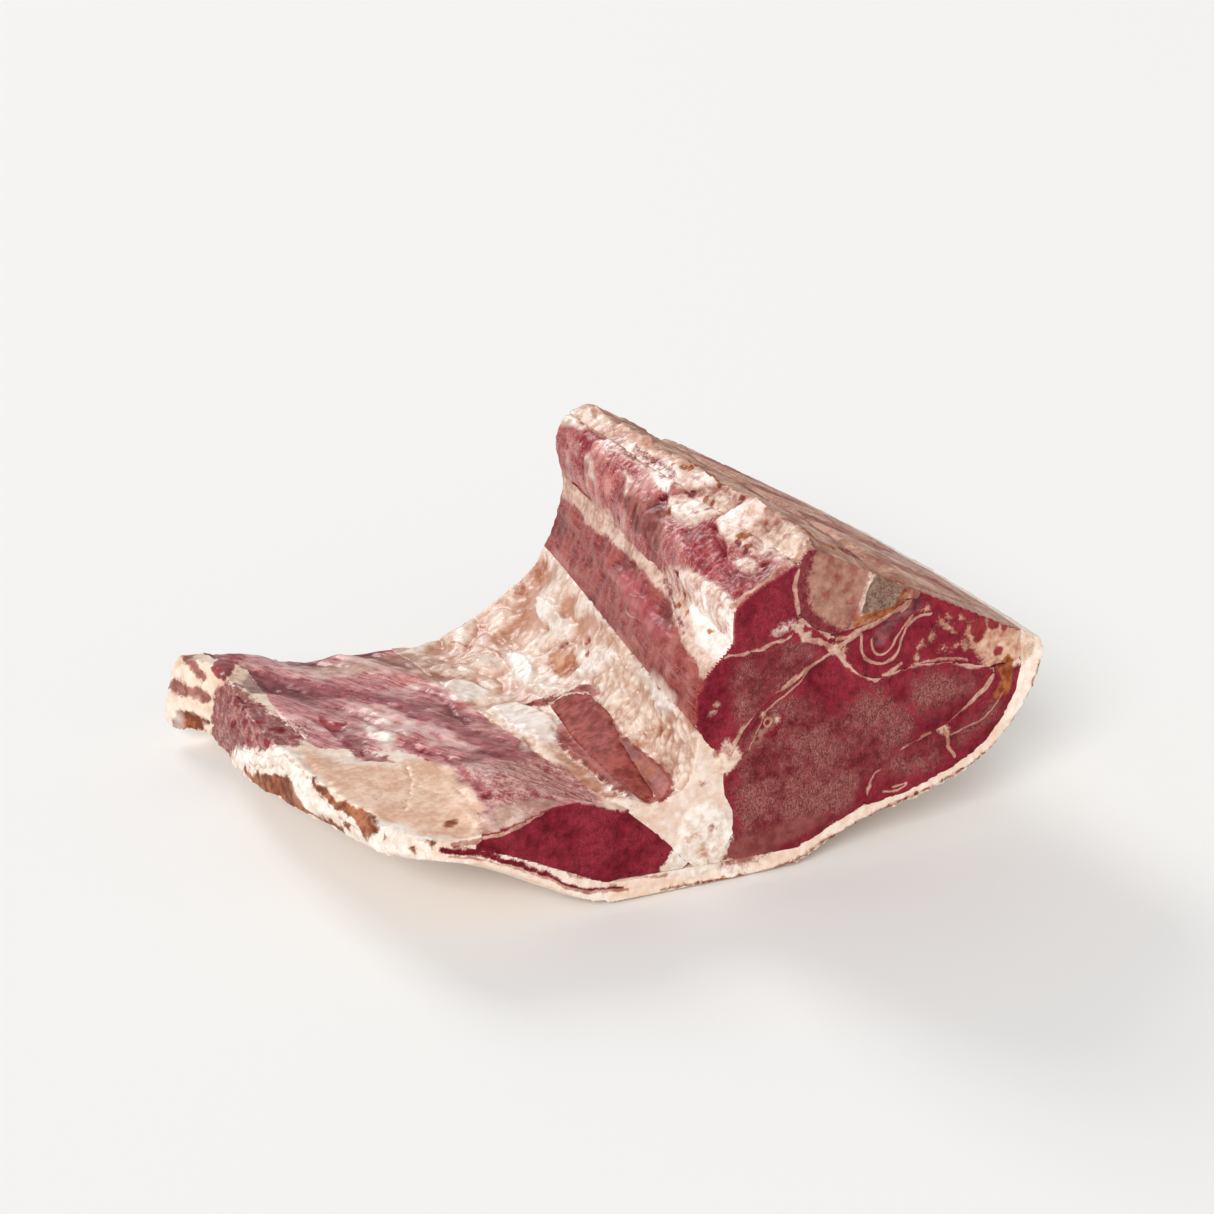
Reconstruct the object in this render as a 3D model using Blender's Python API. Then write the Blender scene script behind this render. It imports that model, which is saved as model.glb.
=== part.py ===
"""Raw bone-in lamb short loin, one sawn half with its flap, resting on its fat side.

The spine runs along +Y, from the chump cut at the front (-Y) to the rib cut at the back.
The sawn face slopes down to the right (+X) and the flap spreads to the left (-X).

Every muscle, the bone and the fat is a loft of closed sections, one at each station along
the spine. Neighbours take their shared side from the same seam, drawn back by half a gap
each, so that they follow each other face to face without touching.
"""

import math

import bmesh
import bpy
import numpy as np

MM = 0.001

# ---- Driving sizes, in millimetres --------------------------------------------------------
LENGTH = 135.0  # along the spine, four lumbar vertebrae
GAP = 0.34  # between neighbouring pieces
VERTEBRA = 33.75  # length of one vertebra
RUMP_REACH = 60.0  # how far the rump muscle runs in from the chump cut
CHIP = (2.2, 2.0)  # broken off the crest at the chump cut, across and down
EASE_IN = 12.0  # length over which swellings and the chip fade near the chump cut
JOINT_SWELL = 0.9  # how far the broad ends of the vertebrae push out the crest
BONE_SWELL = 0.5  # the same, on the underside of the bone
FAT_LUMPS = 0.7  # height of the lumps on the inner side below the tenderloin
LUMP_LENGTH = 7.5  # length of a lump along the spine, over one radian of its wave
OUTWARD = (-0.6, 0.8)  # way in which the open inner side faces, across and up
DORSAL_BOW = (0.5, 1.7)  # bow of the long edge at the back fat, across and up
EDGE_BULGE = 1.6  # roundness of the flap's free edge
ROOT_DEPTH = 2.4  # thickness of the muscle leaf that lies on the inner fat
CANAL_DEPTH = 3.2  # spinal canal, open on the sawn face
CANAL_SHOULDER = 0.3  # its least depth, at the chump cut
BESIDE_CANAL = 0.6  # bone left between the canal and the spinous process
SPINE_THICKNESS = 2.6  # half of a spinous process, as left by the saw
SPINE_SHORT, SPINE_LONG = 2.6, 26.6  # its length between and at the vertebrae
RIM_DEPTH, PAD_DEPTH = 1.8, 3.2  # fat over the flank muscle, at its edge and in the pad
RUMP_KEPT = 0.30  # share of the rump muscle's width kept along its upper edge

# Distance of the flap's free edge from x = 0, at places along the spine.
REACH_AT = [0.0, 3.0, 8.0, 16.0, 30.0, 45.0, 62.0, 80.0, 97.0, 117.0, 124.0, 130.0, 135.0]
REACH = [60.0, 64.5, 68.5, 72.0, 75.5, 79.0, 81.6, 83.6, 83.5, 82.4, 84.0, 90.0, 91.0]

# Places of the sections along the spine, closer together at both cuts.
STATIONS = [0.0, 3.0, 8.0, 14.0, 20.0, 26.0, 32.0, 38.0, 44.0, 50.0, 56.0, 62.0, 68.5, 75.0]
STATIONS += [81.5, 88.0, 94.5, 101.0, 107.5, 114.0, 120.0, 125.5, 130.0, 135.0]

# ---- Outlines at the two cuts, (across, up) in millimetres ----------------------------------
# Left of x = 0 the first number is a share of the flap's reach.
SKIN_CHUMP = [(-1.0, 19.8), (-0.85, 17.0), (-0.70, 12.6), (-0.54, 6.6), (-0.33, -0.2)]
SKIN_CHUMP += [(2, -1), (24, -0.6), (35, 4.0), (45, 8.8), (57, 11.0), (70, 14.8), (82, 21.2)]
SKIN_CHUMP += [(90.8, 32.6), (94.8, 43.0), (94.0, 48.2)]
SKIN_RIB = [(-1.0, 5.0), (-0.85, 3.0), (-0.70, 0.6), (-0.54, -0.6), (-0.33, -0.6)]
SKIN_RIB += [(5, -1), (42, -0.6), (51, 1.8), (60, 4.8), (68, 9.2), (77, 15.8), (84, 23.8)]
SKIN_RIB += [(89.0, 33.6), (91.2, 43.4), (90.0, 49.0)]

# Open inner side: crest of the spine, small fillet, notch, tenderloin, foot, flap.
CREST, FILLET_TOP, NOTCH, FOOT, FREE_EDGE = 0, 1, 5, 9, 19
INSIDE_CHUMP = [(31.4, 82.4), (26.4, 77.2), (19, 73.6), (12.7, 70.4), (9.6, 66), (10.4, 60.6)]
INSIDE_CHUMP += [(7.6, 57.2), (3.4, 53.2), (0.9, 48), (0.7, 42), (0.8, 35.6), (0.1, 29.6)]
INSIDE_CHUMP += [(-0.06, 25.2), (-0.16, 24.0), (-0.28, 23.8), (-0.40, 27.0), (-0.53, 28.8)]
INSIDE_CHUMP += [(-0.67, 26.2), (-0.82, 24.6), (-0.985, 24.8)]
INSIDE_RIB = [(33.6, 79.6), (28.4, 77.6), (25.0, 74.4), (23.6, 70.0), (24.2, 64.8), (25.6, 59.6)]
INSIDE_RIB += [(25.2, 56.2), (23.8, 51), (22.0, 45.8), (19.6, 40.4), (14.6, 33.6), (5, 25.4)]
INSIDE_RIB += [(-0.08, 19.6), (-0.18, 16.8), (-0.30, 16.0), (-0.44, 16.2), (-0.58, 17.0)]
INSIDE_RIB += [(-0.71, 20.0), (-0.84, 22.6), (-0.95, 24.4)]

# Outer fat: its thickness at each point of the skin.
FAT_CHUMP = [3.6, 3.6, 4.0, 5.0, 6.2, 6.2, 5.4, 3.9, 3.7, 3.2, 3.4, 3.6, 4.6, 6.6, 7.0]
FAT_RIB = [6.0, 5.6, 5.0, 5.0, 5.4, 5.6, 5.6, 5.6, 5.6, 5.8, 6.0, 6.0, 6.0, 6.2, 6.4]

# Seams between the muscles.
BONE_CHUMP = [(26.1, 70), (27.0, 64.4), (30.4, 60.4), (35.6, 58.9), (43, 59.6), (50.4, 61.4)]
BONE_CHUMP += [(54.8, 64.6)]
BONE_RIB = [(26.8, 69.6), (27.8, 64.0), (31.0, 60.0), (36.0, 58.3), (42.6, 58.8), (49.4, 60.6)]
BONE_RIB += [(53.6, 63.6)]
BONE_SIDE, BONE_FOOT = 1, 3  # where the two fillets meet on the bone, and the bone's foot
FILLET_SEAM_CHUMP = [(10.4, 60.6), (14.6, 57.0), (19.6, 57.2), (24.4, 59.0), (27.0, 64.4)]
FILLET_SEAM_RIB = [(25.6, 59.6), (26.1, 60.3), (26.7, 61.3), (27.3, 62.6), (27.8, 64.0)]
TENDERLOIN_SEAM_CHUMP = [(35.6, 58.9), (29, 52.4), (21.6, 46.6), (14.6, 40.8), (10.2, 33.4)]
TENDERLOIN_SEAM_RIB = [(36.0, 58.3), (32.2, 51.6), (29.2, 47.2), (26.2, 42.8), (23.4, 38.0)]
TENDERLOIN_FOOT_CHUMP = [(10.2, 33.4), (6.6, 33.8), (3.0, 37.4), (0.7, 42)]
TENDERLOIN_FOOT_RIB = [(23.4, 38.0), (22.0, 38.0), (20.8, 38.8), (20, 40)]
EYE_SIDE_CHUMP = [(10.2, 33.4), (7.6, 27.0), (9.0, 21.0), (12.0, 15.4), (8.6, 10.6)]
EYE_SIDE_RIB = [(23.4, 38.0), (19.8, 31.0), (18.0, 23.0), (18.4, 15.6), (20.6, 9.6)]
CHINE_SEAM_CHUMP = [(35.6, 58.9), (39.6, 50.6), (46.6, 45.2), (58, 47.2), (70, 45.8), (81.4, 42.6)]
CHINE_SEAM_RIB = [(36.0, 58.3), (39.6, 50.8), (48, 46.8), (58, 46.8), (68, 46.6), (81.0, 44.6)]
RUMP_SEAM = [(81.4, 42.6), (74.6, 35.6), (67.6, 30.2), (59, 27.0), (51.4, 23.4), (47.6, 15.0)]
FLANK_SEAM_CHUMP = [(0.2, 6.0), (-4.2, 11.2), (-8.4, 16.2), (-12.6, 20.2)]
FLANK_SEAM_RIB = [(13.0, 7.6), (2.0, 10.4), (-14.0, 11.0), (-28.0, 11.4)]

# Where the pieces meet on the skin's run of points, at the chump and at the rib cut.
RUMP_TOP = 13.0
RUMP_END = 8.1
EYE_END = (5.36, 5.42)
FLANK_START = (4.95, 5.12)
FLANK_END = (0.72, 0.40)
# Where the open inner side passes from the inner fat to the flank muscle.
FAT_TO_FLANK = 13.9
# Where it passes from the flank muscle to the rim's fat, which widens into a pad.
RIM_AT = [0.0, 2.0, 9.0, 25.0, 43.0, 52.0, 58.0, 62.0]
RIM = [18.25, 17.8, 17.15, 16.85, 16.5, 16.75, 17.7, 18.25]
# The muscle leaf on the inner fat, between two places on the inner side.
ROOT_AT = [3.0, 18.0, 32.0, 45.0, 63.0, 68.5]
ROOT_HIGH = [12.5, 12.0, 11.6, 11.2, 11.1, 11.6]
ROOT_LOW = [13.2, 13.05, 12.9, 12.75, 12.3, 12.2]
FAT_ON_SAWN_FACE = (7.6, 6.4)  # width of the outer fat on the sawn face

# Cross profiles of two shallow shapes: place across it, share of its depth.
CANAL_PROFILE = [(0.60, 0.0), (0.70, 0.8), (0.80, 1.0), (0.90, 0.8), (1.0, 0.0)]
ROOT_PROFILE = [(0.0, 0.0), (0.2, 0.8), (0.4, 1.0), (0.6, 1.0), (0.8, 0.8), (1.0, 0.0)]
# Part of each vertebra over which its spinous process starts, and over which it ends.
SPINE_STARTS, SPINE_ENDS = (0.08, 0.26), (0.80, 0.98)

# Colour (linear), roughness.
FINISHES = {
    "sawn_bone": ((0.52, 0.33, 0.25), 0.6),
    "eye_meat": ((0.26, 0.045, 0.05), 0.45),
    "chine_meat": ((0.24, 0.025, 0.035), 0.45),
    "rump_meat": ((0.27, 0.03, 0.04), 0.45),
    "fillet_meat": ((0.28, 0.022, 0.04), 0.4),
    "flank_meat": ((0.33, 0.06, 0.08), 0.4),
    "outer_fat": ((0.86, 0.70, 0.56), 0.5),
    "inner_fat": ((0.88, 0.74, 0.60), 0.45),
}


def smooth_step(low, high, value):
    share = min(max((value - low) / (high - low), 0.0), 1.0)
    return share * share * (3.0 - 2.0 * share)


def blend(chump, rib, y):
    """A size that changes from one cut to the other; points or plain numbers."""
    share = 0.8 * y / LENGTH + 0.2 * smooth_step(0.0, LENGTH, y)
    return (1.0 - share) * np.asarray(chump, float) + share * np.asarray(rib, float)


def spread_flap(points, y):
    """Turns shares of the flap's reach, left of x = 0, into millimetres."""
    reach = np.interp(y, REACH_AT, REACH)
    return [(x * reach if -1.0 <= x < 0.0 else x, z) for x, z in points]


def outline(chump, rib, y):
    """The control points at a station, each cut's own points spread first."""
    return blend(spread_flap(chump, y), spread_flap(rib, y), y)


def on_curve(points, where):
    """Point at a place counted in control points, on a Catmull-Rom curve through them."""
    last = len(points) - 1
    start = min(max(int(math.floor(where)), 0), last - 1)
    t = where - start
    p1, p2 = points[start], points[start + 1]
    p0 = points[start - 1] if start > 0 else 2 * p1 - p2
    p3 = points[start + 2] if start + 2 <= last else 2 * p2 - p1
    return 0.5 * (
        2 * p1
        + (p2 - p0) * t
        + (2 * p0 - 5 * p1 + 4 * p2 - p3) * t * t
        + (3 * p1 - p0 - 3 * p2 + p3) * t**3
    )


def run(points, start, end, steps):
    """Points from one place on a curve to another, in equal steps."""
    return [on_curve(points, start + (end - start) * i / steps) for i in range(steps + 1)]


def along(start, end, steps):
    return [start + (end - start) * i / steps for i in range(steps + 1)]


def normal_at(points, where):
    """Direction that points into the meat from the skin or from the inner side."""
    ahead = on_curve(points, where + 0.02) - on_curve(points, where - 0.02)
    return np.array([-ahead[1], ahead[0]]) / np.hypot(*ahead)


def rest_on_table(points):
    """Flattens the skin where it lies on the table."""
    return [np.array([x, max(z, 0.0)]) for x, z in points]


def spine_reach(y):
    """Length of the spinous process beside the canal, long at each vertebra's middle."""
    phase = (y / VERTEBRA) % 1.0
    rise = smooth_step(*SPINE_STARTS, phase) * (1.0 - smooth_step(*SPINE_ENDS, phase))
    return SPINE_SHORT + (SPINE_LONG - SPINE_SHORT) * rise


def vertebra_swell(y):
    """+1 at the broad ends of the vertebrae, -1 at their waists."""
    return math.cos(2.0 * math.pi * (y / VERTEBRA))


def inside_points(y):
    """The open inner side, with swollen joints on the crest and lumps of fat."""
    points = outline(INSIDE_CHUMP, INSIDE_RIB, y)
    ease = smooth_step(0.0, EASE_IN, y)
    points[CREST] -= np.array(CHIP) * (1.0 - ease)
    moved = []
    for i, point in enumerate(points):
        swell = 0.0
        if i <= NOTCH:
            swell = JOINT_SWELL * vertebra_swell(y) * ease
        elif FOOT < i < FREE_EDGE:
            swell = FAT_LUMPS * math.sin(y / LUMP_LENGTH + 1.9 * i) * ease
        moved.append(point + swell * np.array(OUTWARD))
    return moved


def section(y):
    """All the shared sides at one station, each a run of points with a name."""
    skin = outline(SKIN_CHUMP, SKIN_RIB, y)
    skin[-1] += np.array(DORSAL_BOW) * math.sin(math.pi * y / LENGTH)
    inside = inside_points(y)
    thickness = blend(FAT_CHUMP, FAT_RIB, y)
    bone = blend(BONE_CHUMP, BONE_RIB, y)
    bone[BONE_FOOT:, 1] -= BONE_SWELL * vertebra_swell(y)
    crest, corner = inside[CREST], skin[-1]
    down_saw = (corner - crest) / np.hypot(*(corner - crest))
    into_saw = np.array([down_saw[1], -down_saw[0]])
    fat_edge = corner - down_saw * blend(*FAT_ON_SAWN_FACE, y)
    bone_foot = bone[BONE_FOOT]

    def under_skin(where):
        depth = np.interp(where, range(len(thickness)), thickness)
        on_skin = rest_on_table([on_curve(skin, where)])[0]
        return on_skin + normal_at(skin, where) * depth

    def fat_line(start, end, steps):
        return [under_skin(start + (end - start) * i / steps) for i in range(steps + 1)]

    eye_end, flank_start = blend(*EYE_END, y), blend(*FLANK_START, y)
    flank_end = blend(*FLANK_END, y)
    to_rim = np.interp(y, RIM_AT, RIM)
    rim_depth = np.interp(to_rim, (min(RIM), max(RIM)), (PAD_DEPTH, RIM_DEPTH))
    root_high, root_low = (np.interp(y, ROOT_AT, side) for side in (ROOT_HIGH, ROOT_LOW))
    root_depth = ROOT_DEPTH * smooth_step(-3.0, 12.0, y) * (1.0 - smooth_step(60.0, 74.0, y))

    # The sawn face: crest, canal, spinous process, then meat up to the outer fat.
    bone_end = bone[-1]
    beside_canal = crest + down_saw * (np.dot(bone_end - crest, down_saw) + BESIDE_CANAL)
    spine_tip = beside_canal + down_saw * spine_reach(y)
    canal = []
    depth = CANAL_DEPTH * smooth_step(0.0, EASE_IN, y) + CANAL_SHOULDER
    for share, part in CANAL_PROFILE:
        place = crest + (beside_canal - crest) * share
        canal.append(place + into_saw * depth * part)
    spine_under = [spine_tip + into_saw * SPINE_THICKNESS * 0.7]
    spine_under += [beside_canal + (spine_tip - beside_canal) * 0.5 + into_saw * SPINE_THICKNESS]
    spine_under += [bone_end]

    # The rump muscle thins out towards the rib end, where the eye takes its place.
    rump = 1.0 - smooth_step(0.0, RUMP_REACH + EASE_IN, y)
    steps = 10
    fat_side = fat_line(RUMP_TOP, RUMP_END, steps)
    seam_side = run(np.asarray(RUMP_SEAM, float), 0, len(RUMP_SEAM) - 1, steps)
    rump_seam = []
    for i, (outer, inner) in enumerate(zip(fat_side, seam_side)):
        kept = max(rump, RUMP_KEPT * (1.0 - i / steps)) if i < 3 else rump
        rump_seam.append(outer + (inner - outer) * kept)
    rump_seam[-1] = fat_side[-1]

    chine = blend(CHINE_SEAM_CHUMP, CHINE_SEAM_RIB, y)
    chine[0], chine[-1] = bone_foot, rump_seam[0]
    fillet_seam = blend(FILLET_SEAM_CHUMP, FILLET_SEAM_RIB, y)
    fillet_seam[0], fillet_seam[-1] = inside[NOTCH], bone[BONE_SIDE]
    tender = blend(TENDERLOIN_SEAM_CHUMP, TENDERLOIN_SEAM_RIB, y)
    tender[0] = bone_foot
    foot = blend(TENDERLOIN_FOOT_CHUMP, TENDERLOIN_FOOT_RIB, y)
    foot[0], foot[-1] = tender[-1], inside[FOOT]
    eye_side = np.vstack([blend(EYE_SIDE_CHUMP, EYE_SIDE_RIB, y), [under_skin(eye_end)]])
    flank = blend(FLANK_SEAM_CHUMP, FLANK_SEAM_RIB, y)
    flank = np.vstack([[under_skin(flank_start)], flank[1:], [on_curve(inside, FAT_TO_FLANK)]])

    def below_inside(where, depth):
        return on_curve(inside, where) + normal_at(inside, where) * depth

    rim = [under_skin(flank_end)]
    rim += [below_inside(where, rim_depth) for where in np.linspace(FREE_EDGE - 0.3, to_rim, 4)]
    rim += [on_curve(inside, to_rim)]
    root_under = []
    for share, part in ROOT_PROFILE:
        where = root_high + (root_low - root_high) * share
        root_under.append(below_inside(where, root_depth * part))
    edge_top, edge_low = inside[FREE_EDGE], rest_on_table([skin[0]])[0]
    bulge = np.array([-EDGE_BULGE, 0.0])

    return {
        "crest": run(inside, CREST, FILLET_TOP, 1),
        "fillet_face": run(inside, FILLET_TOP, NOTCH, 6),
        "tenderloin_face": run(inside, NOTCH, FOOT, 7),
        "inner_fat_high": run(inside, FOOT, root_high, 5),
        "root_face": run(inside, root_high, root_low, 5),
        "root_under": root_under,
        "inner_fat_low": run(inside, root_low, FAT_TO_FLANK, 3),
        "flank_face": run(inside, FAT_TO_FLANK, to_rim, 9),
        "rim_face": run(inside, to_rim, FREE_EDGE, 4),
        "free_edge": [edge_top, (edge_top + edge_low) / 2 + bulge, edge_low],
        "skin": rest_on_table(run(skin, 0, len(skin) - 1, 28)),
        "corner": [corner, fat_edge],
        "fat_corner": [fat_edge, fat_side[0]],
        "fat_on_rump": fat_side,
        "fat_on_eye": fat_line(RUMP_END, eye_end, 5),
        "fat_on_inner_fat": fat_line(eye_end, flank_start, 2),
        "fat_on_flank": fat_line(flank_start, flank_end, 9),
        "rim": rim,
        "bone_side": [inside[FILLET_TOP], *bone[: BONE_SIDE + 1]],
        "bone_low": list(bone[BONE_SIDE : BONE_FOOT + 1]),
        "bone_foot": run(bone, BONE_FOOT, len(bone) - 1, 4),
        "spine_under": spine_under[::-1],
        "spine_tip": [spine_under[0], spine_tip],
        "sawn_bone": [spine_tip, *canal[::-1], crest],
        "sawn_meat": along(spine_tip, fat_edge, 4),
        "fillet_seam": run(fillet_seam, 0, 4, 4),
        "tenderloin_seam": run(tender, 0, 4, 6),
        "tenderloin_foot": run(foot, 0, 3, 3),
        "eye_side": run(eye_side, 0, 5, 6),
        "chine_seam": run(chine, 0, 5, 9),
        "rump_seam": rump_seam,
        "rump_top": [rump_seam[0], fat_side[0]],
        "flank_seam": run(flank, 0, 4, 5),
    }


# Each piece's section, counterclockwise seen from the chump end; "-" takes a run backwards.
PIECES = {
    "chine_bone": (
        "sawn_bone",
        "crest",
        "bone_side",
        "bone_low",
        "bone_foot",
        "spine_under",
        "spine_tip",
    ),
    "small_fillet": ("fillet_face", "fillet_seam", "-bone_side"),
    "tenderloin": (
        "tenderloin_face",
        "-tenderloin_foot",
        "-tenderloin_seam",
        "-bone_low",
        "-fillet_seam",
    ),
    "eye_muscle": (
        "tenderloin_seam",
        "eye_side",
        "-fat_on_eye",
        "-rump_seam",
        "-chine_seam",
    ),
    "chine_muscle": (
        "chine_seam",
        "rump_top",
        "-fat_corner",
        "-sawn_meat",
        "-spine_tip",
        "-spine_under",
        "-bone_foot",
    ),
    "rump_muscle": ("rump_seam", "-fat_on_rump", "-rump_top"),
    "root_muscle": ("root_face", "-root_under"),
    "inner_fat": (
        "inner_fat_high",
        "root_under",
        "inner_fat_low",
        "-flank_seam",
        "-fat_on_inner_fat",
        "-eye_side",
        "tenderloin_foot",
    ),
    "flank_muscle": ("flank_face", "-rim", "-fat_on_flank", "flank_seam"),
    "outer_fat": (
        "rim_face",
        "free_edge",
        "skin",
        "corner",
        "fat_corner",
        "fat_on_rump",
        "fat_on_eye",
        "fat_on_inner_fat",
        "fat_on_flank",
        "rim",
    ),
}

FINISH_OF = {
    "chine_bone": "sawn_bone",
    "small_fillet": "fillet_meat",
    "tenderloin": "fillet_meat",
    "eye_muscle": "eye_meat",
    "chine_muscle": "chine_meat",
    "rump_muscle": "rump_meat",
    "root_muscle": "flank_meat",
    "inner_fat": "inner_fat",
    "flank_muscle": "flank_meat",
    "outer_fat": "outer_fat",
}


def closed_loop(sides, names):
    """Joins runs into one loop. Also says of each step whether its run is taken forwards."""
    points, forwards = [], []
    for name in names:
        backwards = name.startswith("-")
        side = sides[name.lstrip("-")]
        side = side[::-1] if backwards else side
        points += [np.asarray(point, float) for point in side[:-1]]
        forwards += [not backwards] * (len(side) - 1)
    return np.array(points), forwards


def drawn_in(points, distance):
    """The loop moved inwards all round, with its sharp corners kept short."""
    before = points - np.roll(points, 1, axis=0)
    after = np.roll(points, -1, axis=0) - points
    normals = []
    for step in (before, after):
        step = step / np.maximum(np.hypot(step[:, 0], step[:, 1]), 1e-6)[:, None]
        normals.append(np.stack([-step[:, 1], step[:, 0]], axis=1))
    middle = normals[0] + normals[1]
    length = np.maximum(np.hypot(middle[:, 0], middle[:, 1]), 0.7)
    return points + middle / length[:, None] ** 2 * 2.0 * distance


def loft(name, names, stations):
    """One closed solid through the sections at the stations."""
    mesh = bpy.data.meshes.new(name)
    solid = bmesh.new()
    rings, forwards = [], []
    for y in stations:
        points, forwards = closed_loop(section(y), names)
        ring = [
            solid.verts.new((x * MM, y * MM, z * MM)) for x, z in drawn_in(points, GAP / 2)
        ]
        rings.append(ring)
    count = len(forwards)
    for near, far in zip(rings, rings[1:]):
        for i in range(count):
            j = (i + 1) % count
            if forwards[i]:
                solid.faces.new((near[j], near[i], far[j]))
                solid.faces.new((near[i], far[i], far[j]))
            else:
                solid.faces.new((near[j], near[i], far[i]))
                solid.faces.new((near[j], far[i], far[j]))
    solid.faces.new(rings[0])
    solid.faces.new(rings[-1][::-1])
    solid.to_mesh(mesh)
    solid.free()
    mesh.shade_smooth()
    mesh.set_sharp_from_angle(angle=math.radians(40))
    return bpy.data.objects.new(name, mesh)


def finish(name):
    colour, roughness = FINISHES[name]
    material = bpy.data.materials.new(name)
    material.use_nodes = True
    shader = material.node_tree.nodes["Principled BSDF"]
    shader.inputs["Base Color"].default_value = (*colour, 1.0)
    shader.inputs["Roughness"].default_value = roughness
    shader.inputs["Metallic"].default_value = 0.0
    material.diffuse_color = (*colour, 1.0)
    return material


def centre_on_table(pieces):
    """Moves the meshes so that the whole stands centred over the origin."""
    corners = np.array([vertex.co[:] for piece in pieces for vertex in piece.data.vertices])
    low, high = corners.min(axis=0), corners.max(axis=0)
    shift = np.array([(low[0] + high[0]) / 2, (low[1] + high[1]) / 2, low[2]])
    for piece in pieces:
        for vertex in piece.data.vertices:
            vertex.co = [value - moved for value, moved in zip(vertex.co, shift)]


def main():
    for item in list(bpy.data.objects):
        bpy.data.objects.remove(item, do_unlink=True)
    finishes = {name: finish(name) for name in FINISHES}
    pieces = []
    for name, names in PIECES.items():
        stations = STATIONS
        if name == "rump_muscle":
            stations = [y for y in STATIONS if y <= RUMP_REACH]
        if name == "root_muscle":
            stations = [y for y in STATIONS if ROOT_AT[0] <= y <= ROOT_AT[-1]]
        piece = loft(name, names, stations)
        piece.data.materials.append(finishes[FINISH_OF[name]])
        bpy.context.scene.collection.objects.link(piece)
        pieces.append(piece)
    centre_on_table(pieces)


main()
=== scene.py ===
# %% [markdown]
# # A raw lamb short loin half
#
# This scene dresses ten plain solids as raw meat, fat and bone. The solids give the true
# outline. Here each one gets a finer skin, with the relief that a knife, a saw and drying
# air leave, and a material that knows where the cut faces, membranes and fascia lie.
#
# All the shapes in this file are in millimetres, in the solids' own frame: x runs from the
# flap to the back fat, y along the spine away from the front cut, and z up.

# %% Tools and the plain solids
import math
from functools import partial

import bpy
import numpy as np
from mathutils import Matrix, Vector
from mathutils.bvhtree import BVHTree


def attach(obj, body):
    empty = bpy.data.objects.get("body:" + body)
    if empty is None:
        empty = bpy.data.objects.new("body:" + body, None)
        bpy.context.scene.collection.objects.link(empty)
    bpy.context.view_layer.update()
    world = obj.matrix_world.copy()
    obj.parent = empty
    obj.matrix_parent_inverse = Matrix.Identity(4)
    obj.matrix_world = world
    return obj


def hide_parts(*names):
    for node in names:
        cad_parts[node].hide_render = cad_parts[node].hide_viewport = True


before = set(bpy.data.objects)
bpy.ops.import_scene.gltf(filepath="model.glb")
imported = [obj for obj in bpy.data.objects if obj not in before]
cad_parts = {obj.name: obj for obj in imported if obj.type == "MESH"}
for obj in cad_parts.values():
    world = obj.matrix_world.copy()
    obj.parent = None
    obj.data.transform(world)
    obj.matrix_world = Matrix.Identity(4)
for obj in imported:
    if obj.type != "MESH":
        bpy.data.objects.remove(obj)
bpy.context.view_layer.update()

# %% [markdown]
# ## Where the surfaces are
#
# The front and rear cuts are flat, at both ends of the spine. The sawn face is a flat slope
# from the crest of the spine to the back fat. What is left of the open side, from the crest
# down over the tenderloin to the flap's edge, is one long curved surface. On it, x + z
# falls steadily from the crest to the flap, so (x + z, y) works as a flat map of it.

# %% Driving sizes
MM = 0.001
CUT_Y = 67.5  # both cuts lie this far from the middle
CUT_DEPTH = 1.2  # what lies less deep than this belongs to a cut
SAW_NORMAL = np.array([0.478, 0.0, 0.878])  # the sawn face looks this way
SAWN_DEPTH = 9.0  # the spinal canal is less deep than this
OPEN_SIDE = np.array([-0.6, 0.0, 0.8])  # the open side looks roughly this way
OPEN_END_X = 40.0  # the open side ends before this
RIM_X = -40.0  # the flap's free rim lies beyond this
CREST = np.array([27.8, 79.9])  # (x, z) of the crest, where the sawn face starts
VERTEBRA = 33.75  # length of one vertebra
FAR = 9.0  # distances are kept below this
print("cuts at y =", -CUT_Y, "and", CUT_Y)

# %% [markdown]
# ## Distances and noise
#
# Raw meat has hardly a straight line, so nearly every mark on it is drawn as a distance: to
# a line of fascia, or to the outline of a patch of fat. A distance can be turned into colour
# with a ragged or a soft edge, and into height. Smooth noise gives lumps and ripples, and
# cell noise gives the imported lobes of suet.


# %% Distances in the plane
def curved(points, closed=False, steps=5):
    """A smooth line through the points, by Catmull-Rom."""
    p = np.asarray(points, float)
    if closed:
        p = np.vstack([p[-1], p, p[0], p[1]])
    else:
        p = np.vstack([2 * p[0] - p[1], p, 2 * p[-1] - p[-2]])
    t = np.linspace(0.0, 1.0, steps, endpoint=False)[:, None]
    out = []
    for a, b, c, d in zip(p, p[1:], p[2:], p[3:]):
        out.append(0.5 * (2 * b + (c - a) * t + (2 * a - 5 * b + 4 * c - d) * t**2
                          + (3 * b - a - 3 * c + d) * t**3))
    return np.vstack([*out, p[-2]])


def to_line(flat, line):
    """Distance from each flat point to a chain of straight stretches."""
    best = np.full(len(flat), 1e6)
    for a, b in zip(line, line[1:]):
        way = b - a
        share = np.clip((flat - a) @ way / max(way @ way, 1e-9), 0.0, 1.0)
        gap = flat - a - share[:, None] * way
        best = np.minimum(best, gap[:, 0] ** 2 + gap[:, 1] ** 2)
    return np.sqrt(best)


def to_patch(flat, outline):
    """Distance to a closed outline, negative inside it."""
    inside = np.zeros(len(flat), bool)
    x, y = flat[:, 0], flat[:, 1]
    for (ax, ay), (bx, by) in zip(outline, outline[1:]):
        if ay != by:
            inside ^= ((ay > y) != (by > y)) & (x < (bx - ax) * (y - ay) / (by - ay) + ax)
    return np.where(inside, -1.0, 1.0) * to_line(flat, outline)


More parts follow.
